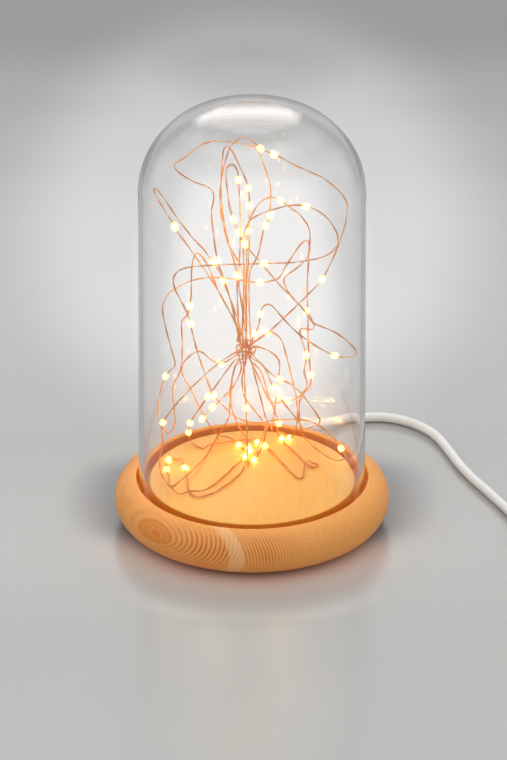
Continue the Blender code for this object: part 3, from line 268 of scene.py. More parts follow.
def bunch(column, row, *heights):
    """A strand's own place in the bunch, at each height."""
    x = BUNCH[0] + (column - 1) * BUNCH_PITCH
    y = BUNCH[1] + (row - 2) * BUNCH_PITCH
    return [seen(x, y, z) for z in heights]


def wound_tie():
    """The string's own last turns round the bunch: two of them, down from high to low."""
    radius, high, low, steps = 4.3, 86.5, 83.1, 8
    turn = []
    for k in range(2 * steps + 1):
        angle = math.radians(150 - 360 * k / steps)
        height = high + (low - high) * k / (2 * steps)
        turn.append(seen(BUNCH[0] + radius * math.cos(angle), BUNCH[1] + radius * math.sin(angle), height))
    return turn


# The whole string, from the top of its hole to its free end, in the order that it runs
STRING_ROUTE = [
    # up through the air behind the middle to the bunch
    seen(-2.2, 14.5, 32), seen(-2.6, 11, 50, 1), seen(-3.4, 6, 68),
    # left leg, top arch and the big lobe on the right
    *bunch(0, 3, 80, 90, 106, 120), (-6.8, 113, 3), (-9.4, 118.5, 5), (-11.3, 124, 7), (-13, 131, 8),
    (-13.9, 138, 8), (-13.9, 144, 7), (-12.8, 151, 5), (-11, 157.5, 3), (-8.2, 163.6, 0), (-3.6, 166.3, -2),
    (0.6, 164.4, -3), (3.4, 161.6, -3, 1), (9.3, 159.3, -1, 1), (14, 157.6, 1), (21, 154, 4), (28, 150.6, 7),
    (33.5, 147.8, 10), (38.3, 143.3, 12), (41.3, 139.4, 12), (42, 135.5, 10), (41.1, 130, 8), (39.5, 125, 6),
    (37.3, 119.5, 3), (34.8, 114.5, 0), (32.3, 109, -3), (30.3, 105.5, -5, 1), (25.5, 100, -7), (20.5, 95, -8),
    (15, 90, -8), (10, 85.3, -7), (5, 80.8, -5), (0.2, 77.2, -2.6),
    # down on the right and back
    *bunch(2, 1, 84), (1.2, 71, -1.6), (6, 66.4, -3), (12, 62.2, -6, 1), (17, 60, -9), (21, 56.4, -12),
    (25, 51, -14), (28.6, 46, -15), (29.4, 43.6, -13), (27, 42, -8), (23.5, 40.6, 0), (21.3, 42.4, 6),
    (18.8, 46.4, 6), (15, 50.4, 5), (12, 54.8, 4, 1), (9.6, 58, 4, 1), (7.2, 63.5, 3.6), (4, 69.3, 3),
    # right leg, over the top, the lobe at the top left, and the left leg
    *bunch(2, 3, 80, 90, 106, 120), (1.9, 114, 3), (3.2, 119.5, 3), (4.3, 124.6, 3), (5.8, 128.4, 3, 1),
    (7.8, 132.4, 3, 1), (7.4, 137, 3), (8, 145, 3), (7.1, 151, 2), (5.2, 155, 2), (3.6, 159, 2), (1, 162.6, 2),
    (-5, 163.9, 3), (-10, 164.6, 2), (-15, 164.7, -1), (-20, 163.5, -4), (-24, 161, -7), (-29, 157.2, -10),
    (-32.6, 155, -12), (-33, 153.2, -13), (-30.8, 150.8, -13), (-27, 148.2, -11), (-22, 146.2, -8),
    (-18, 144.4, -6), (-16.4, 141, -4), (-17.4, 136, -3), (-17.5, 130, -3), (-17, 124.5, -3), (-15.9, 119, -3),
    (-15, 114, -3, 1), (-13.2, 108, -3), (-10.4, 101, -3), (-8.2, 94, -3), (-6.1, 86, -2.4),
    # down on the left to the wood, round its front and back up behind
    *bunch(0, 1, 84), (-6.2, 73.8, -2), (-10, 72, -3), (-14, 69.4, -4), (-18, 66.4, -6), (-22, 62.8, -9),
    (-26.4, 58.6, -12), (-30.4, 54, -14), (-34.2, 49.6, -14), (-37, 45.8, -12), (-38.6, 43.5, -6, 1),
    (-39.8, 40.4, 4), (-39.6, 36.4, 14), (-40.2, 31, 20), (-40.4, 26.4, 13), (-39.6, 21.6, 4), (-37.6, 17, -6),
    (-35.4, 14, -13), (-32, 12, -17.3), (-27.5, 11.8, -17.7), (-21.5, 13, -15.1), (-16, 16.2, -8),
    (-11.6, 20.4, 1), (-7.6, 24.6, 11), (-3.4, 26.2, 16, 1), (-1.2, 29.4, 21, 1), (-3, 34.6, 30),
    (-5.2, 40, 36), (-7.4, 44.6, 34), (-9, 50, 24), (-9.2, 56, 15), (-8.6, 62.6, 8), (-6.8, 69.6, 4),
    # middle arch, then the thin left strand down
    *bunch(0, 2, 80, 86), (-3.2, 92, -0.6), (-2.8, 101, -0.8), (-2.2, 110, -1), (-1.6, 118, -1),
    (-1.5, 127, -1), (-1.1, 135.6, -1, 1), (-1.4, 143.6, -1, 1), (-2.6, 149, -1), (-4.6, 153.6, -1),
    (-7.2, 158.2, -1.4), (-9.6, 161.9, -1.6), (-11.2, 162.5, -2), (-12.4, 160, -1.6), (-12.6, 155.6, 0.5),
    (-13.4, 149, 3), (-13.4, 141, 4), (-12.6, 133.6, 4), (-11.4, 126, 3), (-10, 120.4, 1.5), (-8, 114.6, 0),
    (-6.7, 108.6, -1, 1), (-6.3, 100, -1.4), (-6.2, 92, -1.4), (-5.6, 84, -1),
    # down to the left, along the back of the wood, its front right, and up
    *bunch(0, 0, 80), (-6.8, 71.2, -4), (-9.6, 67, -5), (-14, 61.6, -6), (-18, 56.2, -7, 1), (-22, 50.6, -7),
    (-25.2, 46.4, -3), (-26.9, 43.6, 3, 1), (-28, 39.2, 18, 1), (-27.6, 36, 33), (-25, 32.9, 29),
    (-20.6, 31.6, 26.1), (-15, 32.8, 28.8), (-8.6, 34.8, 33.2), (-3, 35.6, 35), (1.2, 34.8, 33.2, 1),
    (3.8, 33.4, 30.1, 1), (7, 32, 27), (10.2, 29.4, 21.3), (13, 26, 13.7), (16, 22.4, 5.8), (19, 19.4, -0.9),
    (21.3, 18.5, -2.9), (22.6, 20.4, 1), (23.3, 23.4, 8), (25, 25.2, 12), (27.6, 25.2, 12), (29.2, 24.2, 9.7),
    (27.4, 23.3, 7.7), (24.6, 24.4, 10.2), (22, 27, 15.9), (19, 30.1, 22.8), (16.2, 33, 29.2),
    (13.6, 35.6, 34, 1), (11.4, 37.6, 37), (12, 41, 36, 1), (11.6, 45.6, 31), (9.2, 50, 22), (6.6, 55.4, 12),
    (4.6, 61.4, 6), (2.2, 68, 3),
    # small arch, then the long slant to the right wall and back
    *bunch(2, 2, 80, 86), (-4.6, 93, 2.4), (-5.2, 103, 2), (-5.2, 114, 1.6), (-5, 124, 1.4), (-5, 131, 1),
    (-5.3, 138, 1), (-5.6, 145.6, 1, 1), (-5.9, 151.6, 1), (-7.2, 155, 1), (-9, 155.8, 1), (-10.6, 154.2, 1),
    (-11.6, 150, 0), (-11.2, 145, -1), (-10.2, 139.4, -2), (-9.2, 134.6, -3, 1), (-7.2, 128.8, -4, 1),
    (-5, 124, -5, 1), (-2, 120.6, -6), (3, 113.6, -7), (8, 108, -9), (12.4, 102.6, -10), (17, 98, -12),
    (20.8, 94.2, -13), (24, 89.2, -14), (27, 86.2, -14), (30.5, 84.9, -14), (35.4, 82.8, -12), (40, 79.8, -9),
    (43.8, 76.4, -6), (45.2, 74, -4), (44.4, 72.4, -3), (39.6, 71.9, -3, 1), (35, 72.6, -4), (30, 75.8, -6),
    (25, 78.4, -8), (20, 82, -10), (15, 86.2, -11), (11.4, 91, -12), (7.8, 94.6, -11), (4.6, 93.6, -9, 1),
    (3.6, 89, -8), (2.6, 84.8, -6, 1), (0.6, 79.6, -4.4),
    # down the middle to the wood, along its back left and up again
    *bunch(2, 0, 84), (-0.6, 71, -3.4), (1, 64.6, -5), (3.4, 55.4, -6), (5.4, 47.4, -4), (6.9, 43.2, 4),
    (5.6, 38.6, 16), (3, 33, 24), (0.8, 28.6, 20, 1), (-2, 30.4, 24, 1), (-5.4, 31.8, 27), (-10, 34.9, 33),
    (-15.6, 38.6, 36), (-19.8, 42.8, 32), (-22, 47.8, 26), (-25, 54, 22), (-28.6, 60.6, 20), (-31, 65.4, 18),
    (-30.2, 69.2, 16), (-27, 72.4, 14), (-24, 74.3, 12), (-21.2, 73.6, 10), (-18.6, 71.2, 9, 1), (-14, 69, 7),
    (-10, 70.4, 5), (-6.6, 72.4, 4.4),
    # the long lobe against the left wall
    *bunch(0, 4, 82, 88), (-6.4, 84.6, 4.5), (-8.6, 90, 5), (-11.6, 95.8, 6), (-15, 101, 7), (-18, 105.6, 8),
    (-21.6, 111, 9), (-24.6, 115.6, 10), (-27.4, 119.8, 11), (-31, 124, 12, 1), (-34.4, 128.6, 12),
    (-38.2, 134.6, 11), (-41.2, 140, 9), (-42.8, 143.4, 6), (-41.9, 144.6, 3), (-39.8, 142.4, 1),
    (-36.8, 138, 0), (-33, 132.2, 0), (-30, 128.2, 0), (-26.2, 123.8, 0), (-22.6, 120.6, 0), (-19.8, 117, 0, 1),
    (-16.8, 112.6, 0), (-14.4, 109.4, 0, 1), (-12, 103.6, 0.5), (-9.6, 96.6, 0), (-7.8, 90, -0.4),
    (-4.9, 82, -0.9),
    # down behind, along the wood to its left front, and back up the middle
    *bunch(1, 0, 80), (-6.6, 68.6, -3), (-8.2, 64, -3), (-9.6, 57.4, -1), (-10, 50.6, 6), (-10.5, 46.2, 18),
    (-12, 42.4, 30), (-15.4, 37, 38), (-19, 31.6, 26.1), (-22, 26, 13.7), (-26, 20.4, 1.3), (-30.4, 16.4, -7.5),
    (-34, 14.9, -10.8), (-36.6, 16.2, -8), (-36.6, 19.6, 0, 1), (-38.2, 23.2, 9, 1), (-36, 26.6, 16),
    (-31, 26.2, 14, 1), (-29, 22, 6), (-28.6, 16, -5), (-26.6, 12.4, -16.4), (-23, 10.7, -20.1),
    (-18, 12, -17.3), (-12.4, 15.4, -9.7), (-8, 18.2, -3.5), (-5, 21.4, 3.5), (-3, 24, 9, 1), (0.8, 26.4, 14),
    (4, 33, 20), (5.6, 40, 22), (4, 45.8, 16), (0.2, 49.4, 8), (-2.8, 53.4, 2), (-4.4, 58.6, 0),
    (-4.2, 64.6, -0.6), (-2.7, 69.4, -0.4),
    # middle lobe on the right and the long flat turn round the left
    *bunch(1, 2, 80, 90, 106, 118), (-3.4, 119.4, -3), (-3.2, 126, -5), (-1.6, 130, -7), (3.6, 133.2, -9),
    (9, 135.4, -10), (16.6, 137, -11, 1), (22, 137, -10), (27, 135.6, -8), (31, 133, -6), (34.6, 129.4, -5),
    (36.6, 125.4, -5), (37, 121, -7), (34.4, 117.4, -10), (30, 114.8, -13), (24, 113.2, -16), (18, 112.6, -18),
    (12, 112.5, -19, 1), (5, 112, -20), (-5, 112, -20), (-15, 111.6, -20), (-25, 111, -18), (-30, 109.9, -16),
    (-33.2, 107.4, -13), (-34, 104.4, -10), (-33, 100.6, -8), (-31, 96.6, -7), (-28.4, 91.6, -6, 1),
    (-26.6, 86, -5), (-25.2, 80, -3), (-24, 74.4, 0), (-23, 69.4, 2), (-20.6, 64.8, 3), (-19, 60.4, 3, 1),
    (-17.2, 55.6, 4), (-13.2, 50.6, 8), (-9, 46.8, 16), (-4, 44, 26), (2, 43, 33), (8, 43.2, 36),
    (14, 43.6, 35), (21, 44.4, 32), (26, 43.6, 30), (30, 41.6, 29), (34, 39, 27), (37, 35.4, 23, 1),
    (40, 31, 15), (41, 27.4, 6), (37, 26.6, 4), (30.6, 30.4, 14), (26, 33.6, 24), (22.6, 37.6, 30),
    (20.9, 43, 30), (20.8, 49, 28), (21.8, 55, 25), (25.4, 59, 22, 1), (26, 63.6, 20), (25, 69, 18),
    (24.8, 76, 15), (24.5, 85, 12), (24.3, 95, 9), (24, 104, 7), (24, 111, 6), (25, 118, 5), (25.7, 123.6, 4),
    (24, 129, 3), (21.2, 132.8, 1), (17.6, 135.4, -2, 1), (13, 138.8, -3), (9, 140.6, -3), (5, 139.7, -3),
    (2, 136.8, -3.6), (-0.8, 132, -3.6, 1), (-2.4, 126.4, -2.6),
    # down the bunch, out to the right and back to the wood
    *bunch(1, 1, 124, 110, 94, 82), (0.8, 75.8, -1.4), (3.4, 75.8, -0.4), (6, 74.8, 0.6), (9.4, 73.2, 2),
    (11.8, 70.2, 3), (11.6, 63, 5, 1), (10.6, 56.4, 8), (10, 50.4, 12), (9.4, 46, 18), (8.6, 40.6, 28),
    (11.4, 37, 35, 1), (16, 35.4, 33), (19, 39, 31), (20, 47, 26), (19.4, 55, 20), (17.2, 63.6, 14),
    (15.2, 70, 11), (14.2, 75.6, 9), (12.6, 79.6, 8, 1), (8.6, 82.6, 6), (4, 81.4, 5), (0, 77.8, 3.6),
    # right fan, the low side of the right lobe and the second flat turn round the left
    *bunch(1, 3, 84), (-1, 72, 3.4), (2.2, 66.6, 6), (5.4, 59, 9), (8.4, 52.8, 10, 1), (12, 52.4, 9),
    (17, 52.8, 6), (21, 55, 2), (24, 60, -2), (22.6, 66, -4, 1), (23.6, 72, -6), (22, 78, -4), (21, 84, -2),
    (26.8, 84, 0, 1), (25, 90, 1), (20.4, 94.4, 2), (15.2, 101, 2), (14, 106, 0), (19.6, 110.6, -2),
    (23.4, 114, -2), (25, 118.6, -1), (23.8, 122.6, 0.6), (20, 119.6, 2), (15, 112, 3), (11.6, 106.2, 4, 1),
    (7.6, 104.8, 5), (3, 104.2, 6), (-3, 104.6, 7), (-12, 106.2, 9), (-20, 106.6, 10), (-26, 105.2, 9),
    (-30, 103.2, 7), (-34.2, 101, 4), (-36.2, 99.4, 1), (-37.6, 97.2, -1), (-38.8, 93.8, -3), (-38.6, 89, -4),
    (-37.4, 83, -4), (-35.4, 76.8, -4), (-34.2, 72, -4), (-33.4, 68.4, -3, 1), (-36.4, 65.6, -1),
    (-38.9, 61, 2), (-40.6, 55, 4), (-40.9, 48.6, 4), (-40.4, 43.6, 4), (-38, 39.6, 8), (-36.4, 38.4, 14),
    (-34, 43, 18), (-35.4, 52, 18), (-34.6, 60, 16), (-31.4, 66, 12), (-30.9, 74, 9), (-30.4, 82, 6),
    (-30.6, 87.4, 4, 1), (-27.6, 91, 3), (-26.6, 98, 2), (-25.6, 107, 1), (-26, 113, 2), (-24, 117, 3.4),
    (-20, 113, 4), (-17, 106.6, 4), (-14, 99.6, 4), (-12, 94, 3.6), (-9, 89, 3), (-5.6, 84.6, 2.8),
    # the tie round the bunch and the free end
    *wound_tie(), (-4.6, 67, 6.5), (-7.4, 60, 8), (-11.4, 55.4, 9, 1), (-15.4, 51.2, 11), (-19.4, 48.4, 12),
    (-21.9, 44.8, 13, 1)]


def string_places():
    """The readings as true places, and which of them are LEDs."""
    run = BOARD_UNDER - WIRE_R
    hole_x, hole_y = STRING_HOLE
    places = [(hole_x, SOLDER_Y, run), (hole_x, SOLDER_Y + 4 * MM, run),
              (hole_x, hole_y - 2 * MM, (ROOF_Z + run) / 2), (hole_x, hole_y, ROOF_Z + 2 * MM),
              (hole_x, hole_y, PLATEAU_Z)]
    leds = [0] * len(places)
    for reading in STRING_ROUTE:
        x, seen_up, y = (value * MM for value in reading[:3])
        places.append((x, y, (seen_up - y * math.sin(LOOK_DOWN)) / math.cos(LOOK_DOWN)))
        leds.append(reading[3] if len(reading) > 3 else 0)
    return places, leds


def glass_reach(z):
    """Inside radius of the glass at each height."""
    rise = np.clip((z - SHOULDER_Z) / (SHOULDER_R - BELL_WALL), 0, 1)
    return CROWN_R + (BELL_R - BELL_WALL - CROWN_R) * np.sqrt(1 - rise ** 2)


def nearest_on_segments(p1, q1, p2, q2):
    """For pairs of segments: the shares along each where they come closest."""
    d1, d2, r = q1 - p1, q2 - p2, p1 - p2
    a, e, f = (d1 * d1).sum(1), (d2 * d2).sum(1), (d2 * r).sum(1)
    c, b = (d1 * r).sum(1), (d1 * d2).sum(1)
    spread = a * e - b * b
    flat = spread < 1e-18
    s = np.where(flat, 0.5, np.clip((b * f - c * e) / np.where(flat, 1, spread), 0, 1))
    t = np.clip((b * s + f) / e, 0, 1)
    s = np.clip((b * t - c) / a, 0, 1)
    return s, t


def close_pairs(points, radii, reach, apart):
    """Pairs of the string's segments that may come within reach of each other."""
    middles = (points[1:] + points[:-1]) / 2
    halves = np.linalg.norm(points[1:] - points[:-1], axis=1) / 2
    lengths = run_lengths(points)
    tree = kdtree.KDTree(len(middles))
    for i, middle in enumerate(middles):
        tree.insert(middle, i)
    tree.balance()
    pairs = []
    for i, middle in enumerate(middles):
        for _, j, distance in tree.find_range(middle, halves[i] + halves.max() + reach):
            if j > i and lengths[j] - lengths[i + 1] > apart and distance < halves[i] + halves[j] + reach:
                pairs.append((i, j))
    first, second = np.array(pairs).T
    thick = np.maximum(radii[:-1], radii[1:])
    return first, second, thick[first] + thick[second]


def spread_strands(points, radii, held):
    """Ease the strands apart until no two touch, and keep them off the glass and the wood."""
    want = WIRE_GAP + TINY
    for turn in range(SPREAD_TURNS):
        if turn % 6 == 0:       # look for new neighbours now and then
            first, second, thick = close_pairs(points, radii, 2 * BEAD_R + want + 1 * MM, 6 * WIRE_R)
        s, t = nearest_on_segments(points[first], points[first + 1], points[second], points[second + 1])
        near_1 = points[first] + (points[first + 1] - points[first]) * s[:, None]
        near_2 = points[second] + (points[second + 1] - points[second]) * t[:, None]
        across = near_1 - near_2
        distance = np.linalg.norm(across, axis=1)
        crossed = distance < TINY
        across[crossed] = (0, 0, TINY)
        distance[crossed] = TINY
        short = np.maximum(thick + want - distance, 0)
        push = across / distance[:, None] * (PUSH * short)[:, None]
        move = np.zeros_like(points)
        for index, share, sign in ((first, 1 - s, 1), (first + 1, s, 1), (second, 1 - t, -1),
                                   (second + 1, t, -1)):
            np.add.at(move, index, sign * share[:, None] * push)
        size = np.linalg.norm(move, axis=1, keepdims=True)
        move *= np.minimum(1, LONGEST_MOVE / np.maximum(size, 1e-9))
        move[:held] = 0
        points = points + move
        air = radii[held:] + GLASS_AIR
        free = points[held:]
        free[:, 2] = np.maximum(free[:, 2], PLATEAU_Z + air)
        flat = np.hypot(free[:, 0], free[:, 1])
        room = glass_reach(free[:, 2] + air) - air - 0.7 * MM
        free[:, :2] *= np.minimum(1, room / np.maximum(flat, 1e-9))[:, None]
        points[held:] = free
    return points


def string_line():
    """The string's line, eased apart, and the positions of the LEDs along it."""
    steps, smooth = 10, 4
    fixed = 4 * steps           # the stretch through the base, which stays put
    places, leds = string_places()
    path = smooth_path(places, steps)
    lengths = run_lengths(path)
    half = BEAD_LENGTH / 2
    led_at = [min(lengths[i * steps], lengths[-1] - half) for i, led in enumerate(leds) if led]
    heading = np.diff(path, axis=0)
    heading /= np.linalg.norm(heading, axis=1)[:, None]
    stations = [0.0]
    turned_by = 0.0
    for k in range(1, len(path) - 1):
        turned_by += math.acos(max(-1.0, min(1.0, float(heading[k - 1] @ heading[k]))))
        since = lengths[k] - stations[-1]
        bent = turned_by >= STATION_BEND and since >= 4 * WIRE_R
        if since >= STATION_STEP or k == fixed or bent:
            stations.append(lengths[k])
            turned_by = 0.0
    stations.append(lengths[-1])
    marks = [(s, 1.0) for s in stations if all(abs(s - led) > half + 0.6 * MM for led in led_at)]
    for led in led_at:
        marks += [(led - half, 1.0), (led, BEAD_R / WIRE_R), (led + half, 1.0)]
    marks.sort()
    swell = np.array([w for _, w in marks])
    held = sum(s <= lengths[fixed] + 1e-9 for s, _ in marks)
    points = spread_strands(along(path, [s for s, _ in marks]), swell * WIRE_R, held)
    fine = smooth_path(points, smooth)
    lit = [run_lengths(fine)[i * smooth] for i, w in enumerate(swell) if w > 1]
    whole = run_lengths(fine)[-1]
    even = np.linspace(0, whole, int(whole / STRING_STEP))
    return along(fine, even), even, np.array(lit)


def side_vectors(path, distances):
    """At each point a direction across the string, turning slowly as twisted wires do."""
    heading = np.gradient(path, axis=0)
    heading /= np.linalg.norm(heading, axis=1)[:, None]
    side = np.cross(heading[0], (0, 1, 0))
    across = []
    for direction in heading:
        side = side - direction * (side @ direction)
        side /= np.linalg.norm(side)
        across.append(side)
    across = np.array(across)
    angle = (2 * math.pi * STRAND_TURNS * distances)[:, None]
    return heading, np.cos(angle) * across + np.sin(angle) * np.cross(heading, across)


class Finish:
    """One material, with short ways to add nodes to it."""

    def __init__(self, name, colour, roughness, metallic=0.0):
        self.material = bpy.data.materials.new(name)
        self.material.use_nodes = True
        self.tree = self.material.node_tree
        self.surface = self.tree.nodes["Principled BSDF"]
        self.output = self.tree.nodes["Material Output"]
        self.place = self.put("ShaderNodeTexCoord").outputs["Object"]
        self.give(self.surface, {"Base Color": (*colour, 1), "Roughness": roughness, "Metallic": metallic})

    def give(self, node, inputs):
        """Set each input to a value, or link it to another node's output."""
        for key, value in inputs.items():
            if isinstance(value, bpy.types.NodeSocket):
                self.tree.links.new(value, node.inputs[key])
            else:
                node.inputs[key].default_value = value

    def put(self, kind, inputs=None, **settings):
        node = self.tree.nodes.new(kind)
        for key, value in settings.items():
            setattr(node, key, value)
        self.give(node, inputs or {})
        return node

    def calc(self, operation, a, b=0.0, c=0.0):
        return self.put("ShaderNodeMath", {0: a, 1: b, 2: c}, operation=operation).outputs[0]

    def times(self, a, *others):
        for b in others:
            a = self.calc("MULTIPLY", a, b)
        return a

    def plus(self, a, b):
        return self.calc("ADD", a, b)

    def over(self, a, b):
        return self.calc("DIVIDE", a, b)

    def add_part(self, a, share, base):
        """So much of a, on top of a base."""
        return self.calc("MULTIPLY_ADD", a, share, base)

    def split(self, vector=None):
        """The three numbers of a place."""
        return self.put("ShaderNodeSeparateXYZ", {0: vector or self.place}).outputs

    def length(self, vector):
        return self.put("ShaderNodeVectorMath", {0: vector}, operation="LENGTH").outputs["Value"]

    def noise(self, scale, detail=3.0, stretch=(1, 1, 1)):
        """Noise from 0 to 1; stretch squeezes it along each direction."""
        where = self.put("ShaderNodeMapping", {"Vector": self.place, "Scale": stretch})
        inputs = {"Vector": where.outputs[0], "Scale": scale, "Detail": detail}
        return self.put("ShaderNodeTexNoise", inputs).outputs[0]

    def ramp(self, value, *stops):
        """A colour or a grey for each share from 0 to 1, eased from stop to stop."""
        node = self.put("ShaderNodeValToRGB", {0: value})
        node.color_ramp.interpolation = "EASE"
        elements = node.color_ramp.elements
        while len(elements) < len(stops):
            elements.new(0.5)
        for element, (at, colour) in zip(elements, stops):
            element.position = at
            element.color = (*colour, 1) if isinstance(colour, tuple) else (colour, colour, colour, 1)
        return node.outputs[0]

    def mix(self, share, a, b):
        node = self.put("ShaderNodeMix", data_type="RGBA")
        a, b = (colour if hasattr(colour, "links") else (*colour, 1) for colour in (a, b))
        self.give(node, {0: share, 6: a, 7: b})
        return node.outputs[2]

    def centred(self, place, turn=0.0, tip=0.0, scale=(1, 1, 1)):
        """Coordinates round a place, with their own Y turned from +Y and tipped about it."""
        inputs = {"Vector": self.place, "Location": place, "Rotation": (0, tip, turn), "Scale": scale}
        return self.put("ShaderNodeMapping", inputs, vector_type="TEXTURE").outputs[0]

    def bump(self, height, strength, distance):
        node = self.put("ShaderNodeBump", {"Height": height, "Strength": strength, "Distance": distance})
        self.give(self.surface, {"Normal": node.outputs[0]})


def year_rings(wood, place, turn, heart_away, spacing, wobble, tip=0.0, squash=1.0):
    """Shares from early to late wood round a log's heart, and the distance from the heart."""
    x, _, z = wood.split(wood.centred(place, turn, tip, (1, 1, squash)))
    across = wood.plus(x, heart_away)
    away = wood.calc("SQRT", wood.plus(wood.times(across, across), wood.times(z, z)))
    drift = wood.times(wood.calc("SUBTRACT", wood.noise(38, 2.0), 0.5), wobble)
    return wood.calc("FRACT", wood.over(wood.plus(away, drift), spacing)), away


def pine():
    """Edge-glued pine: two boards meet at the front, each with its own rings."""
    wood = Finish("pine", (0.8, 0.42, 0.14), 0.42)
    early, late = (1.0, 0.42, 0.10), (0.64, 0.12, 0.004)
    x, y, z = wood.split()
    # ring contrast by height: painted highlight where the rings fade out on the rim's top, and the rings fade
    # low down on its underside too
    ring_contrast_with_painted_glare = wood.ramp(wood.over(z, PLATEAU_Z), (0.2, 0.25), (0.45, 0.65), (0.65, 1), (0.88, 0.85), (1, 0.15))

    # left board: rings round the log's heart, quieter towards the left edge, partly the grain and partly a
    # painted lighter left end, and the heart itself
    share, away = year_rings(wood, (-42 * MM, -41 * MM, 15.6 * MM), math.radians(14), 0.0, 2 * MM, 1.6 * MM,
                             math.radians(-28), 0.68)
    dark = wood.ramp(share, (0, 0.2), (0.45, 0), (0.78, 1), (0.93, 1), (1, 0.2))
    quiet_and_painted_lit_left = wood.ramp(wood.over(wood.plus(x, BASE_R), 50 * MM), (0, 0.1), (0.25, 0.3), (0.5, 0.6), (0.8, 1))
    left = wood.mix(wood.times(dark, quiet_and_painted_lit_left, ring_contrast_with_painted_glare), early, late)
    heart = wood.ramp(wood.over(away, 6.2 * MM), (0, 1), (0.14, 0.85), (0.32, 0.45), (0.6, 0.45),
                      (0.85, 0.7), (1, 0))
    left = wood.mix(heart, left, (0.84, 0.23, 0.02))

    # right board: finer rings, worn in patches and fading to the right
    share, _ = year_rings(wood, (-4 * MM, -59 * MM, 8 * MM), math.radians(27), 44 * MM, 1.3 * MM, 1.2 * MM)
    dark = wood.ramp(share, (0, 0.3), (0.45, 0), (0.8, 1), (0.92, 1), (1, 0.3))
    worn = wood.ramp(wood.noise(45, 2.0), (0.35, 0.45), (0.65, 1))
    near = wood.ramp(wood.over(x, BASE_R), (0.1, 1), (0.26, 0.5), (0.42, 0.12))
    right = wood.mix(wood.times(dark, worn, near, ring_contrast_with_painted_glare), (0.97, 0.42, 0.10), late)

    # the glue line between them, with a pale band on its left
    glue = wood.split(wood.centred((-3.9 * MM, -59.1 * MM, 0), math.radians(36)))[0]
    band = 5.7 * MM
    pale = wood.ramp(wood.over(wood.plus(glue, band), band), (0, 0), (0.28, 0.7), (1, 0.8))
    pale = wood.times(pale, wood.calc("LESS_THAN", y, -30 * MM), 0.85)
    left = wood.mix(pale, left, (1.0, 0.60, 0.27))
    rim = wood.mix(wood.calc("GREATER_THAN", glue, 0.0), left, right)

    # the raised middle: broad, faint rings cut flat
    flat = wood.split(wood.centred((0, 0, 0), math.radians(66)))[0]
    drift = wood.times(wood.noise(22, 2.0), 11 * MM)
    share = wood.calc("FRACT", wood.over(wood.plus(flat, drift), 4.3 * MM))
    dark = wood.ramp(share, (0, 0.2), (0.3, 0), (0.8, 0.55), (0.95, 0.45), (1, 0.2))
    top = wood.mix(wood.times(dark, 0.5), (0.97, 0.47, 0.065), (0.90, 0.39, 0.04))
    reach = wood.length(wood.put("ShaderNodeCombineXYZ", {0: x, 1: y}).outputs[0])
    colour = wood.mix(wood.calc("LESS_THAN", reach, 47 * MM), rim, top)

    # the groove, painted darker as painted shade, and the fibres all over
    groove = wood.times(wood.calc("GREATER_THAN", reach, PLATEAU_R - 0.35 * MM),
                        wood.calc("LESS_THAN", reach, GROOVE_R + 0.25 * MM),
                        wood.calc("LESS_THAN", z, PLATEAU_Z - 0.2 * MM), 0.8)
    colour = wood.mix(groove, colour, (0.72, 0.2, 0.008))
    fibre = wood.noise(900, 3.0, (1, 0.06, 1))
    tint = wood.ramp(fibre, (0.3, 0.93), (0.7, 1))
    colour = wood.put("ShaderNodeMix", {0: 1.0, 6: colour, 7: tint}, data_type="RGBA",
                      blend_type="MULTIPLY").outputs[2]
    patches = wood.ramp(wood.noise(30, 2.0), (0.35, 0.38), (0.7, 0.5))
    wood.give(wood.surface, {"Base Color": colour, "Roughness": patches, "Specular IOR Level": 0.4})
    wood.bump(wood.plus(fibre, wood.times(dark, 0.4)), 0.06, 0.05 * MM)
    return wood.material


def clear_glass():
    """Clear glass, slightly grey through its thickness, that lets the light of the lamps through."""
    glass = Finish("clear_glass", (1.0, 1.0, 1.0), 0.0)
    blown = glass.ramp(glass.over(glass.split()[2], 0.2), (0.72, 0), (0.9, 1))
    ripple = glass.times(glass.noise(70, 2.0), blown, 0.3)
    glass.bump(glass.plus(glass.noise(9, 1.0), ripple), 0.08, 2 * MM)
    glass.give(glass.surface, {"Transmission Weight": 1.0, "IOR": 1.38})
    inner = glass.put("ShaderNodeVolumeAbsorption", {"Color": (0.56, 0.62, 0.60, 1), "Density": 5.0})
    glass.give(glass.output, {"Volume": inner.outputs[0]})
    ray = glass.put("ShaderNodeLightPath").outputs
    straight = glass.calc("MAXIMUM", ray["Is Shadow Ray"], ray["Is Diffuse Ray"])
    through = glass.put("ShaderNodeBsdfTransparent", {"Color": (0.96, 0.96, 0.96, 1)})
    both = glass.put("ShaderNodeMixShader", {0: straight, 1: glass.surface.outputs[0], 2: through.outputs[0]})
    glass.give(glass.output, {"Surface": both.outputs[0]})
    return glass.material


def plain_finish(name, colour, roughness, metallic=0.0, grain=600, depth=0.03, tint=0.06):
    """A moulded, plated or painted finish: slight changes of tone and sheen, and a fine grain."""
    finish = Finish(name, colour, roughness, metallic)
    fine = finish.noise(grain, 3.0)
    broad = finish.noise(grain / 12, 2.0)
    darker = tuple(c * (1 - 2 * tint) for c in colour)
    finish.give(finish.surface, {
        "Base Color": finish.mix(finish.ramp(broad, (0.35, 0), (0.65, 1)), darker, colour),
        "Roughness": finish.ramp(fine, (0.3, roughness - 0.05), (0.7, roughness + 0.05))})
    finish.bump(fine, 0.25, depth * MM)
    return finish.material


def copper():
    """Copper under thin clear enamel: lighter and duller in patches, with painted shade making it darker brown
    close to the wood.
    """
    metal = Finish("copper_wire", (0.97, 0.52, 0.26), 0.33, 0.4)
    age = metal.ramp(metal.noise(120), (0.3, (0.92, 0.40, 0.17)), (0.7, (1.0, 0.65, 0.37)))
    # painted shade: darker brown below about 50 mm, fully so below 28 mm, close to the wood
    low = metal.ramp(metal.over(metal.split()[2], 0.1), (0.28, 1), (0.5, 0))
    copper_with_painted_shade = metal.mix(low, age, (0.78, 0.28, 0.055))
    metal.give(metal.surface, {"Base Color": copper_with_painted_shade, "Specular IOR Level": 0.2})
    return metal.material


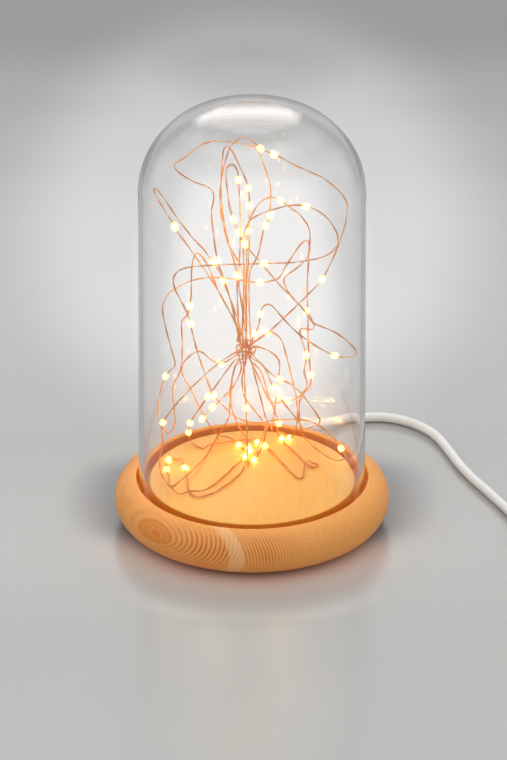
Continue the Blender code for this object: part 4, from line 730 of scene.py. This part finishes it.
def resin():
    """A clear drop over a lit LED: the resin itself is full of warm light."""
    drop = Finish("resin_drop", (1.0, 0.86, 0.5), 0.12)
    swirl = drop.ramp(drop.noise(900, 2.0), (0.3, (1.0, 0.60, 0.10)), (0.7, (1.0, 0.74, 0.20)))
    drop.give(drop.surface, {"Alpha": 0.3, "Emission Color": swirl, "Emission Strength": 1.5})
    light = drop.put("ShaderNodeEmission", {"Color": (1.0, 0.78, 0.17, 1), "Strength": 600.0})
    drop.give(drop.output, {"Volume": light.outputs[0]})
    drop.material.cycles.emission_sampling = "NONE"
    return drop.material


def led_face():
    """The lit face of an LED, warm white."""
    chip = Finish("led_face", (1.0, 0.85, 0.45), 0.5)
    warm = chip.ramp(chip.noise(900, 1.0), (0.3, (1.0, 0.78, 0.29)), (0.7, (1.0, 0.84, 0.35)))
    chip.give(chip.surface, {"Emission Color": warm, "Emission Strength": 220.0})
    return chip.material


def mesh_of(name, bm):
    """The bmesh as a mesh; the bmesh itself is used up."""
    mesh = bpy.data.meshes.new(name)
    bm.to_mesh(mesh)
    bm.free()
    return mesh


def new_piece(name, bm, material, sharp=35):
    """The bmesh as a piece: smooth, with sharp edges where faces meet at more than so many degrees."""
    for face in bm.faces:
        face.smooth = True
    for edge in bm.edges:
        if len(edge.link_faces) == 2:
            edge.smooth = edge.calc_face_angle(0) < math.radians(sharp)
    mesh = mesh_of(name, bm)
    mesh.materials.append(material)
    return add_object(name, mesh)


def arc(centre, radius, start, stop, steps):
    """Points on a round, angles in degrees from +X towards +Z."""
    angles = np.radians(np.linspace(start, stop, steps + 1))
    return [(centre[0] + radius * math.cos(a), centre[1] + radius * math.sin(a)) for a in angles]


def spun(profile, steps, closed=False):
    """A bmesh turned round Z from (radius, height) points."""
    bm = bmesh.new()
    verts = [bm.verts.new((r, 0, z)) for r, z in profile]
    edges = [bm.edges.new(pair) for pair in zip(verts, verts[1:])]
    if closed:
        edges.append(bm.edges.new((verts[-1], verts[0])))
    bmesh.ops.spin(bm, geom=verts + edges, cent=(0, 0, 0), axis=(0, 0, 1), steps=steps, angle=2 * math.pi,
                   use_merge=True)
    bmesh.ops.remove_doubles(bm, verts=bm.verts, dist=0.002 * MM)
    bmesh.ops.recalc_face_normals(bm, faces=bm.faces)
    return bm


def block(bm, matrix, size):
    """A box of that size at a place; gives its vertices."""
    return bmesh.ops.create_cube(bm, size=1, matrix=matrix @ Matrix.Diagonal((*size, 1)))["verts"]


def ease_edges(bm, edges, width, steps):
    """Bevel the edges round, in so many steps."""
    bmesh.ops.bevel(bm, geom=edges, offset=width, segments=steps, profile=0.5, affect="EDGES", material=-1)


def one_of_four(k, radius, height):
    """The place of one of four things set evenly round the axis, the first at 45 degrees."""
    angle = math.radians(45 + 90 * k)
    return Matrix.Translation((radius * math.cos(angle), radius * math.sin(angle), height))


def along_lead(distance):
    """Turns a piece's own Z to the lead's direction and puts its origin at that distance from the axis."""
    return (Matrix.Translation(lead_point(distance)) @ Matrix.Rotation(-LEAD_TURN, 4, "Z")
            @ Matrix.Rotation(math.radians(-90), 4, "X"))


def drilled(obj, holes):
    """Take the holes, each a bmesh cylinder (radius, length, matrix), out of a piece."""
    cutter = bmesh.new()
    for radius, length, matrix in holes:
        bmesh.ops.create_cone(cutter, cap_ends=True, segments=32, radius1=radius, radius2=radius,
                              depth=length, matrix=matrix)
    drill = add_object("drill", mesh_of("drill", cutter))
    hole = obj.modifiers.new("holes", "BOOLEAN")
    hole.operation = "DIFFERENCE"
    hole.solver = "EXACT"
    hole.object = drill
    bpy.context.view_layer.update()
    depsgraph = bpy.context.evaluated_depsgraph_get()
    done = bpy.data.meshes.new_from_object(obj.evaluated_get(depsgraph))
    obj.modifiers.clear()
    obj.data = done
    bpy.data.objects.remove(drill, do_unlink=True)
    return obj


def turned_base(material):
    """The turned disc: raised middle, groove for the bell, full-round edge and the hollow below."""
    centre = (BASE_R - NOSE_R, NOSE_Z)
    corner_z = NOSE_Z + math.sqrt(NOSE_R ** 2 - (GROOVE_R - centre[0]) ** 2)
    first = math.degrees(math.atan2(corner_z - NOSE_Z, GROOVE_R - centre[0]))
    ease = WOOD_EASE
    profile = [(0, PLATEAU_Z), (PLATEAU_FLAT_R, PLATEAU_Z), (PLATEAU_R - ease - 0.3 * MM, PLATEAU_Z)]
    profile += arc((PLATEAU_R - ease, PLATEAU_Z - ease), ease, 90, 0, 4)
    profile += [(PLATEAU_R, GROOVE_Z), (GROOVE_R, GROOVE_Z)]
    profile += arc((GROOVE_R + ease, corner_z - ease - 0.02 * MM), ease, 180, 110, 3)
    profile += arc(centre, NOSE_R, first - 5, -90, 36)
    profile += [(LEDGE_R, BASE_BOTTOM), (LEDGE_R, LEDGE_Z), (RECESS_R, LEDGE_Z), (RECESS_R, ROOF_Z),
                (0, ROOF_Z)]
    base = new_piece("turned_base", spun(profile, 192), material)
    holes = [(STRING_HOLE_R, STRING_HOLE_LENGTH, Matrix.Translation((*STRING_HOLE, STRING_HOLE_Z))),
             (LEAD_HOLE_R, LEAD_HOLE_LENGTH, along_lead(LEAD_HOLE_BACK)),
             (RELIEF_HOLE_R, RELIEF_HOLE_LENGTH, along_lead(RELIEF_HOLE_BACK))]
    holes += [(PILOT_R, PILOT_LENGTH, one_of_four(k, PILOT_CIRCLE_R, PILOT_Z)) for k in range(4)]
    return drilled(base, holes)


def glass_bell(material):
    """The bell: straight wall, round shoulder, a slightly proud, gently domed crown and a rounded rim."""
    centre = (CROWN_R, SHOULDER_Z)
    lip = BELL_WALL / 2
    slope = math.radians(90 - CROWN_START)

    def crown(radius):
        """The flat crown's points, from the axis to where the shoulder's round takes over."""
        edge_r = CROWN_R + radius * math.sin(slope)
        edge_z = SHOULDER_Z + radius * math.cos(slope)
        cap = edge_r / math.sin(slope)
        low = edge_z - cap * math.cos(slope)
        bends = [slope * k / 6 for k in range(6)]
        return [(cap * math.sin(bend), low + cap * math.cos(bend)) for bend in bends]

    profile = crown(SHOULDER_R + CROWN_LIFT)
    for angle in np.linspace(CROWN_START, 0, 29):
        rise = min(max((angle - CROWN_RING) / RING_SPREAD + 0.5, 0), 1)
        radius = SHOULDER_R + CROWN_LIFT * rise ** 2 * (3 - 2 * rise)
        profile += arc(centre, radius, angle, angle, 0)
    straight = BELL_LOW + lip + 0.3 * MM
    profile += [(BELL_R, straight)] + arc((BELL_R - lip, BELL_LOW + lip), lip, 0, -180, 10)
    profile += [(BELL_R - BELL_WALL, straight)]
    profile += arc(centre, SHOULDER_R - BELL_WALL, 0, CROWN_START, 28)
    profile += reversed(crown(SHOULDER_R - BELL_WALL))
    return new_piece("glass_bell", spun(profile, 192), material, sharp=60)


def string_pieces():
    """Twin copper wires, and on them at each LED a chip under a drop of resin."""
    path, distances, lit = string_line()
    heading, side = side_vectors(path, distances)
    nearest = np.abs(distances[:, None] - lit[None, :]).min(axis=1)
    shift = (STRAND_SHIFT + PARTING * np.exp(-(nearest / PARTING_REACH) ** 2))[:, None]
    wires = wire("string_wires", [path + side * shift, path - side * shift], STRAND_R, 6, copper())
    bead = Matrix.Diagonal((BEAD_LENGTH / 2, BEAD_R, BEAD_FLAT * BEAD_R, 1))

    drops, chips = bmesh.new(), bmesh.new()
    for at in lit:
        k = int(np.argmin(np.abs(distances - at)))
        spot = Vector(along(path, [at])[0])
        long_way, wide_way = Vector(heading[k]), Vector(side[k])
        axes = Matrix((long_way, wide_way, long_way.cross(wide_way))).transposed().to_4x4()
        here = Matrix.Translation(spot) @ axes
        bmesh.ops.create_uvsphere(drops, u_segments=16, v_segments=10, radius=1, matrix=here @ bead)
        block(chips, here, CHIP)
    ease_edges(chips, chips.edges, 0.1 * MM, 1)
    return wires, new_piece("led_drops", drops, resin()), new_piece("led_chips", chips, led_face())


def lead_relief(material):
    """Tapered sleeve where the lead leaves the wood, with four ribs that get thinner."""
    profile = [(SLEEVE_R, 0), (RELIEF_R, 0), (RELIEF_R, RELIEF_SEAT + 0.6 * MM)]
    for k in range(4):
        low = RELIEF_SEAT + (1.4 + 1.5 * k) * MM
        thick = RELIEF_R - 0.13 * k * MM
        profile += [(thick - 0.5 * MM, low - 0.35 * MM), (thick - 0.5 * MM, low + 0.25 * MM),
                    (thick - 0.1 * MM, low + 0.5 * MM), (thick - 0.13 * MM, low + 1.0 * MM)]
    end = RELIEF_SEAT + RELIEF_OUT
    profile += [(2.8 * MM, end), (SLEEVE_R, end)]
    bm = spun(profile, 40, True)
    bm.transform(along_lead(RELIEF_BACK))
    return new_piece("lead_relief", bm, material)


def plug_pieces(material):
    """Moulded plug body with finger ribs, and its ribbed sleeve."""
    body = bmesh.new()
    middle = Vector((PLUG_X, PLUG_BACK_Y + PLUG_BODY[1] / 2, PLUG_Z))
    block(body, Matrix.Translation(middle), PLUG_BODY)
    ease_edges(body, body.edges, 1.7 * MM, 5)
    for k in range(5):
        for x_side in (-1, 1):
            spot = middle + Vector((x_side * PLUG_BODY[0] / 2, (k - 3) * 2.2 * MM, 0))
            rib = block(body, Matrix.Translation(spot), FINGER_RIB)
            ease_edges(body, list({e for v in rib for e in v.link_edges}), 0.25 * MM, 2)
    housing = new_piece("plug_housing", body, material)

    profile = [(SLEEVE_R, 0), (2.9 * MM, 0)]
    for k in range(4):
        low = (1.2 + 2.1 * k) * MM
        thick = (2.95 + 0.13 * k) * MM
        profile += [(thick, low), (thick - 0.45 * MM, low + 0.3 * MM), (thick - 0.45 * MM, low + 0.9 * MM),
                    (thick, low + 1.2 * MM)]
    profile += [(RELIEF_R, PLUG_RELIEF_LENGTH), (SLEEVE_R, PLUG_RELIEF_LENGTH)]
    sleeve = spun(profile, 40, True)
    sleeve.transform(Matrix.Translation((PLUG_X, PLUG_RELIEF_Y, PLUG_Z))
                     @ Matrix.Rotation(math.radians(-90), 4, "X"))
    return housing, new_piece("plug_sleeve", sleeve, material)


def rubber_feet(material):
    """Four soft pads with rounded edges and a slightly hollow face."""
    profile = [(0, FOOT_HIGH), (FOOT_R, FOOT_HIGH), (FOOT_R, FOOT_EASE)]
    profile += arc((FOOT_R - FOOT_EASE, FOOT_EASE), FOOT_EASE, 0, -90, 3)[1:]
    profile += [(FOOT_HOLLOW_R + 0.2 * MM, 0), (FOOT_HOLLOW_R, FOOT_HOLLOW), (0, FOOT_HOLLOW)]
    bm = bmesh.new()
    for k in range(4):
        pad = spun(profile, 32)
        pad.transform(one_of_four(k, FOOT_CIRCLE_R, 0))
        mesh = mesh_of("pad", pad)
        bm.from_mesh(mesh)
        bpy.data.meshes.remove(mesh)
    return new_piece("rubber_feet", bm, material)


def studio_floor():
    """Satin pale floor with painted light: a painted glow and pool of light behind the piece, painted fall-off
    far behind, painted shadow beside it, and a painted ring of light and warm reflection in front of it.
    """
    paint = Finish("studio_floor", (0.45, 0.45, 0.45), 0.26)
    x, y, _ = paint.split()

    def oval(centre_y, half_x, half_y, *stops):
        """A soft oval patch, by the distance from its centre."""
        return paint.ramp(paint.length(paint.centred((0, centre_y, 0), scale=(half_x, half_y, 1))), *stops)

    def strip(distance, *stops):
        """A soft strip, by a distance, with its stops in tenths of a metre."""
        return paint.ramp(paint.over(distance, 0.1), *stops)

    # the floor's grey from front to back, darker far behind: painted fall-off of the light
    deep = paint.over(paint.plus(y, 0.3), 0.9)
    grey = paint.ramp(deep, (0.08, 0.448), (0.22, 0.425), (0.31, 0.462), (0.42, 0.43), (0.455, 0.447),
                      (0.56, 0.485), (0.66, 0.475), (0.755, 0.42), (0.81, 0.375), (0.89, 0.28))
    # painted glow of light on the floor round the bell, with a painted darker patch behind its crown taken off
    # it
    painted_crown_shade = oval(0.455, 0.06, 0.048, (0.3, 1), (1.2, 0))
    glow = paint.add_part(painted_crown_shade, -0.5, oval(0.30, 0.128, 0.26, (0.56, 1), (1.04, 0)))
    grey = paint.add_part(glow, 0.205, grey)
    # painted shadow on the floor beside the base
    beside = strip(paint.calc("ABSOLUTE", paint.calc("SUBTRACT", y, 20 * MM)), (0.25, 1), (0.5, 0))
    shade = paint.times(oval(20 * MM, 0.1, 0.1, (0.6, 0.5), (0.88, 0)), beside)
    grey = paint.times(grey, paint.calc("SUBTRACT", 1.0, shade))
    # a painted ring of light on the floor round the front of the base
    ahead = paint.ramp(paint.over(y, -0.1), (0.05, 0), (0.4, 1))
    middle = strip(paint.calc("ABSOLUTE", x), (0.36, 1), (0.6, 0))
    halo = paint.times(oval(0, 0.1, 0.1, (0.7, 0), (0.9, 1), (1.1, 0)), middle, ahead)
    grey = paint.add_part(halo, 0.09, grey)
    # a painted warm reflection of the base on the floor in front of it
    front = paint.times(oval(0, 0.1, 0.1, (0.5, 1), (0.84, 0)), ahead)
    # a painted pool of light on the floor behind the bell
    pool = oval(0.235, 0.06, 0.21, (0.55, 1), (1.1, 0))
    # what the painted pool of light behind and the painted warm reflection in front add to red, green and blue
    tones = [paint.add_part(front, warm, paint.add_part(pool, behind, grey))
             for behind, warm in ((0.265, 0.28), (0.25, 0.155), (0.24, 0.085))]
    colour = paint.put("ShaderNodeCombineColor", dict(enumerate(tones))).outputs[0]
    paint.give(paint.surface, {"Base Color": colour, "IOR": 1.4})
    bm = bmesh.new()
    bmesh.ops.create_circle(bm, cap_ends=True, segments=96, radius=3)
    bmesh.ops.translate(bm, vec=(0, 0, -0.05 * MM), verts=bm.verts)
    floor = new_piece("studio_floor", bm, paint.material)


def studio_light():
    """A sky that brightens upwards, and three soft lamps behind that aim at the piece."""
    world = bpy.data.worlds.new("studio")
    world.use_nodes = True
    tree = world.node_tree
    sky = tree.nodes["Background"]
    way = tree.nodes.new("ShaderNodeTexCoord")
    split = tree.nodes.new("ShaderNodeSeparateXYZ")
    fade = tree.nodes.new("ShaderNodeValToRGB")
    fade.color_ramp.elements[0].color = (0.48, 0.48, 0.48, 1)
    fade.color_ramp.elements[1].color = (1.0, 1.0, 1.0, 1)
    fade.color_ramp.elements[1].position = 0.8
    for start, end in ((way.outputs["Generated"], split.inputs[0]), (split.outputs[2], fade.inputs[0]),
                       (fade.outputs[0], sky.inputs["Color"])):
        tree.links.new(start, end)
    sky.inputs["Strength"].default_value = 1.0
    bpy.context.scene.world = world
    for name, place, size, power in (("back_card", (-0.09, 1.6, 0.87), (0.60, 0.16), 0.28),
                                     ("back_card_rim", (-0.09, 1.61, 0.90), (0.76, 0.30), 0.62),
                                     ("back_card_edge", (-0.09, 1.62, 0.94), (0.92, 0.50), 1.0)):
        lamp = bpy.data.lights.new(name, "AREA")
        lamp.shape = "RECTANGLE"
        lamp.size, lamp.size_y = size
        lamp.energy = power
        obj = add_object(name, lamp)
        obj.location = place
        obj.rotation_euler = (Vector((0, 0, 0.08)) - Vector(place)).to_track_quat("-Z", "Y").to_euler()


make_camera()

white_lead = plain_finish("white_lead", (0.88, 0.88, 0.88), 0.35, grain=1500, depth=0.01, tint=0.01)
lead = wire("lead", [lead_path()], LEAD_R, 12, white_lead)
relief = lead_relief(white_lead)
housing, sleeve = plug_pieces(white_lead)
for piece, nodes in ((lead, ("usb_cable", "usb_cable_coil", "usb_cable_tail")),
                     (relief, ("cable_strain_relief",)), (housing, ("plug_body",)),
                     (sleeve, ("plug_relief",))):
    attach(piece, "base")
    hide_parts(*nodes)

base = turned_base(pine())
bell = glass_bell(clear_glass())
wires, drops, chips = string_pieces()
rubber = plain_finish("soft_rubber", (0.5, 0.49, 0.47), 0.75, grain=2500, depth=0.02)
feet = rubber_feet(rubber)
for piece, body, slot, nodes in ((base, "base", "pine", ("wooden_base",)),
                                 (bell, "dome", "clear_glass", ("glass_dome",)),
                                 (wires, "base", "copper_wire", ("light_string",)),
                                 (drops, "base", "copper_wire", ()), (chips, "base", "copper_wire", ()),
                                 (feet, "base", "soft_rubber", ("foot_1", "foot_2", "foot_3", "foot_4"))):
    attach(piece, body)
    if nodes:
        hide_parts(*nodes)

# The CAD nodes' finishes: name, colour, roughness, metal, scale of the grain and its depth in millimetres
finishes = {start: plain_finish(*row) for start, row in {
    "bottom_cover": ("grey_cover", (0.18, 0.18, 0.18), 0.55, 0, 1400, 0.05),
    "cable_clamp": ("grey_clamp", (0.16, 0.16, 0.16), 0.5, 0, 1400, 0.03),
    "cover_screw": ("zinc_screw", (0.62, 0.62, 0.64), 0.32, 1, 2200, 0.01),
    "driver_board": ("board_green", (0.03, 0.20, 0.08), 0.38, 0, 900, 0.02),
    "board_pad": ("foam_tape", (0.80, 0.80, 0.78), 0.9, 0, 3000, 0.08),
    "driver_chip": ("black_resin", (0.03, 0.03, 0.03), 0.35, 0, 2600, 0.02),
    "series_resistor": ("resistor_ceramic", (0.10, 0.10, 0.11), 0.5, 0, 3000, 0.02),
    "storage_capacitor": ("capacitor_sleeve", (0.06, 0.08, 0.25), 0.35, 0, 900, 0.01),
    "core_plus": ("red_core", (0.60, 0.03, 0.03), 0.45, 0, 1800, 0.01),
    "core_minus": ("black_core", (0.03, 0.03, 0.03), 0.45, 0, 1800, 0.01),
    "coil_tie": ("tie_white", (0.78, 0.78, 0.77), 0.6, 0, 2600, 0.03),
    "plug_shell": ("nickel_shell", (0.70, 0.70, 0.69), 0.25, 1, 2400, 0.01),
    "plug_contact": ("gold_contact", (0.90, 0.66, 0.25), 0.28, 1, 2400, 0.01)}.items()}
finishes["clamp_screw"] = finishes["cover_screw"]
finishes["plug_tongue"] = finishes["cable_lead_in"] = white_lead
for name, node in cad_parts.items():
    for start, finish in finishes.items():
        if name.startswith(start):
            node.data.materials.clear()
            node.data.materials.append(finish)

studio_floor()
studio_light()
bpy.context.scene.view_settings.view_transform = "Standard"
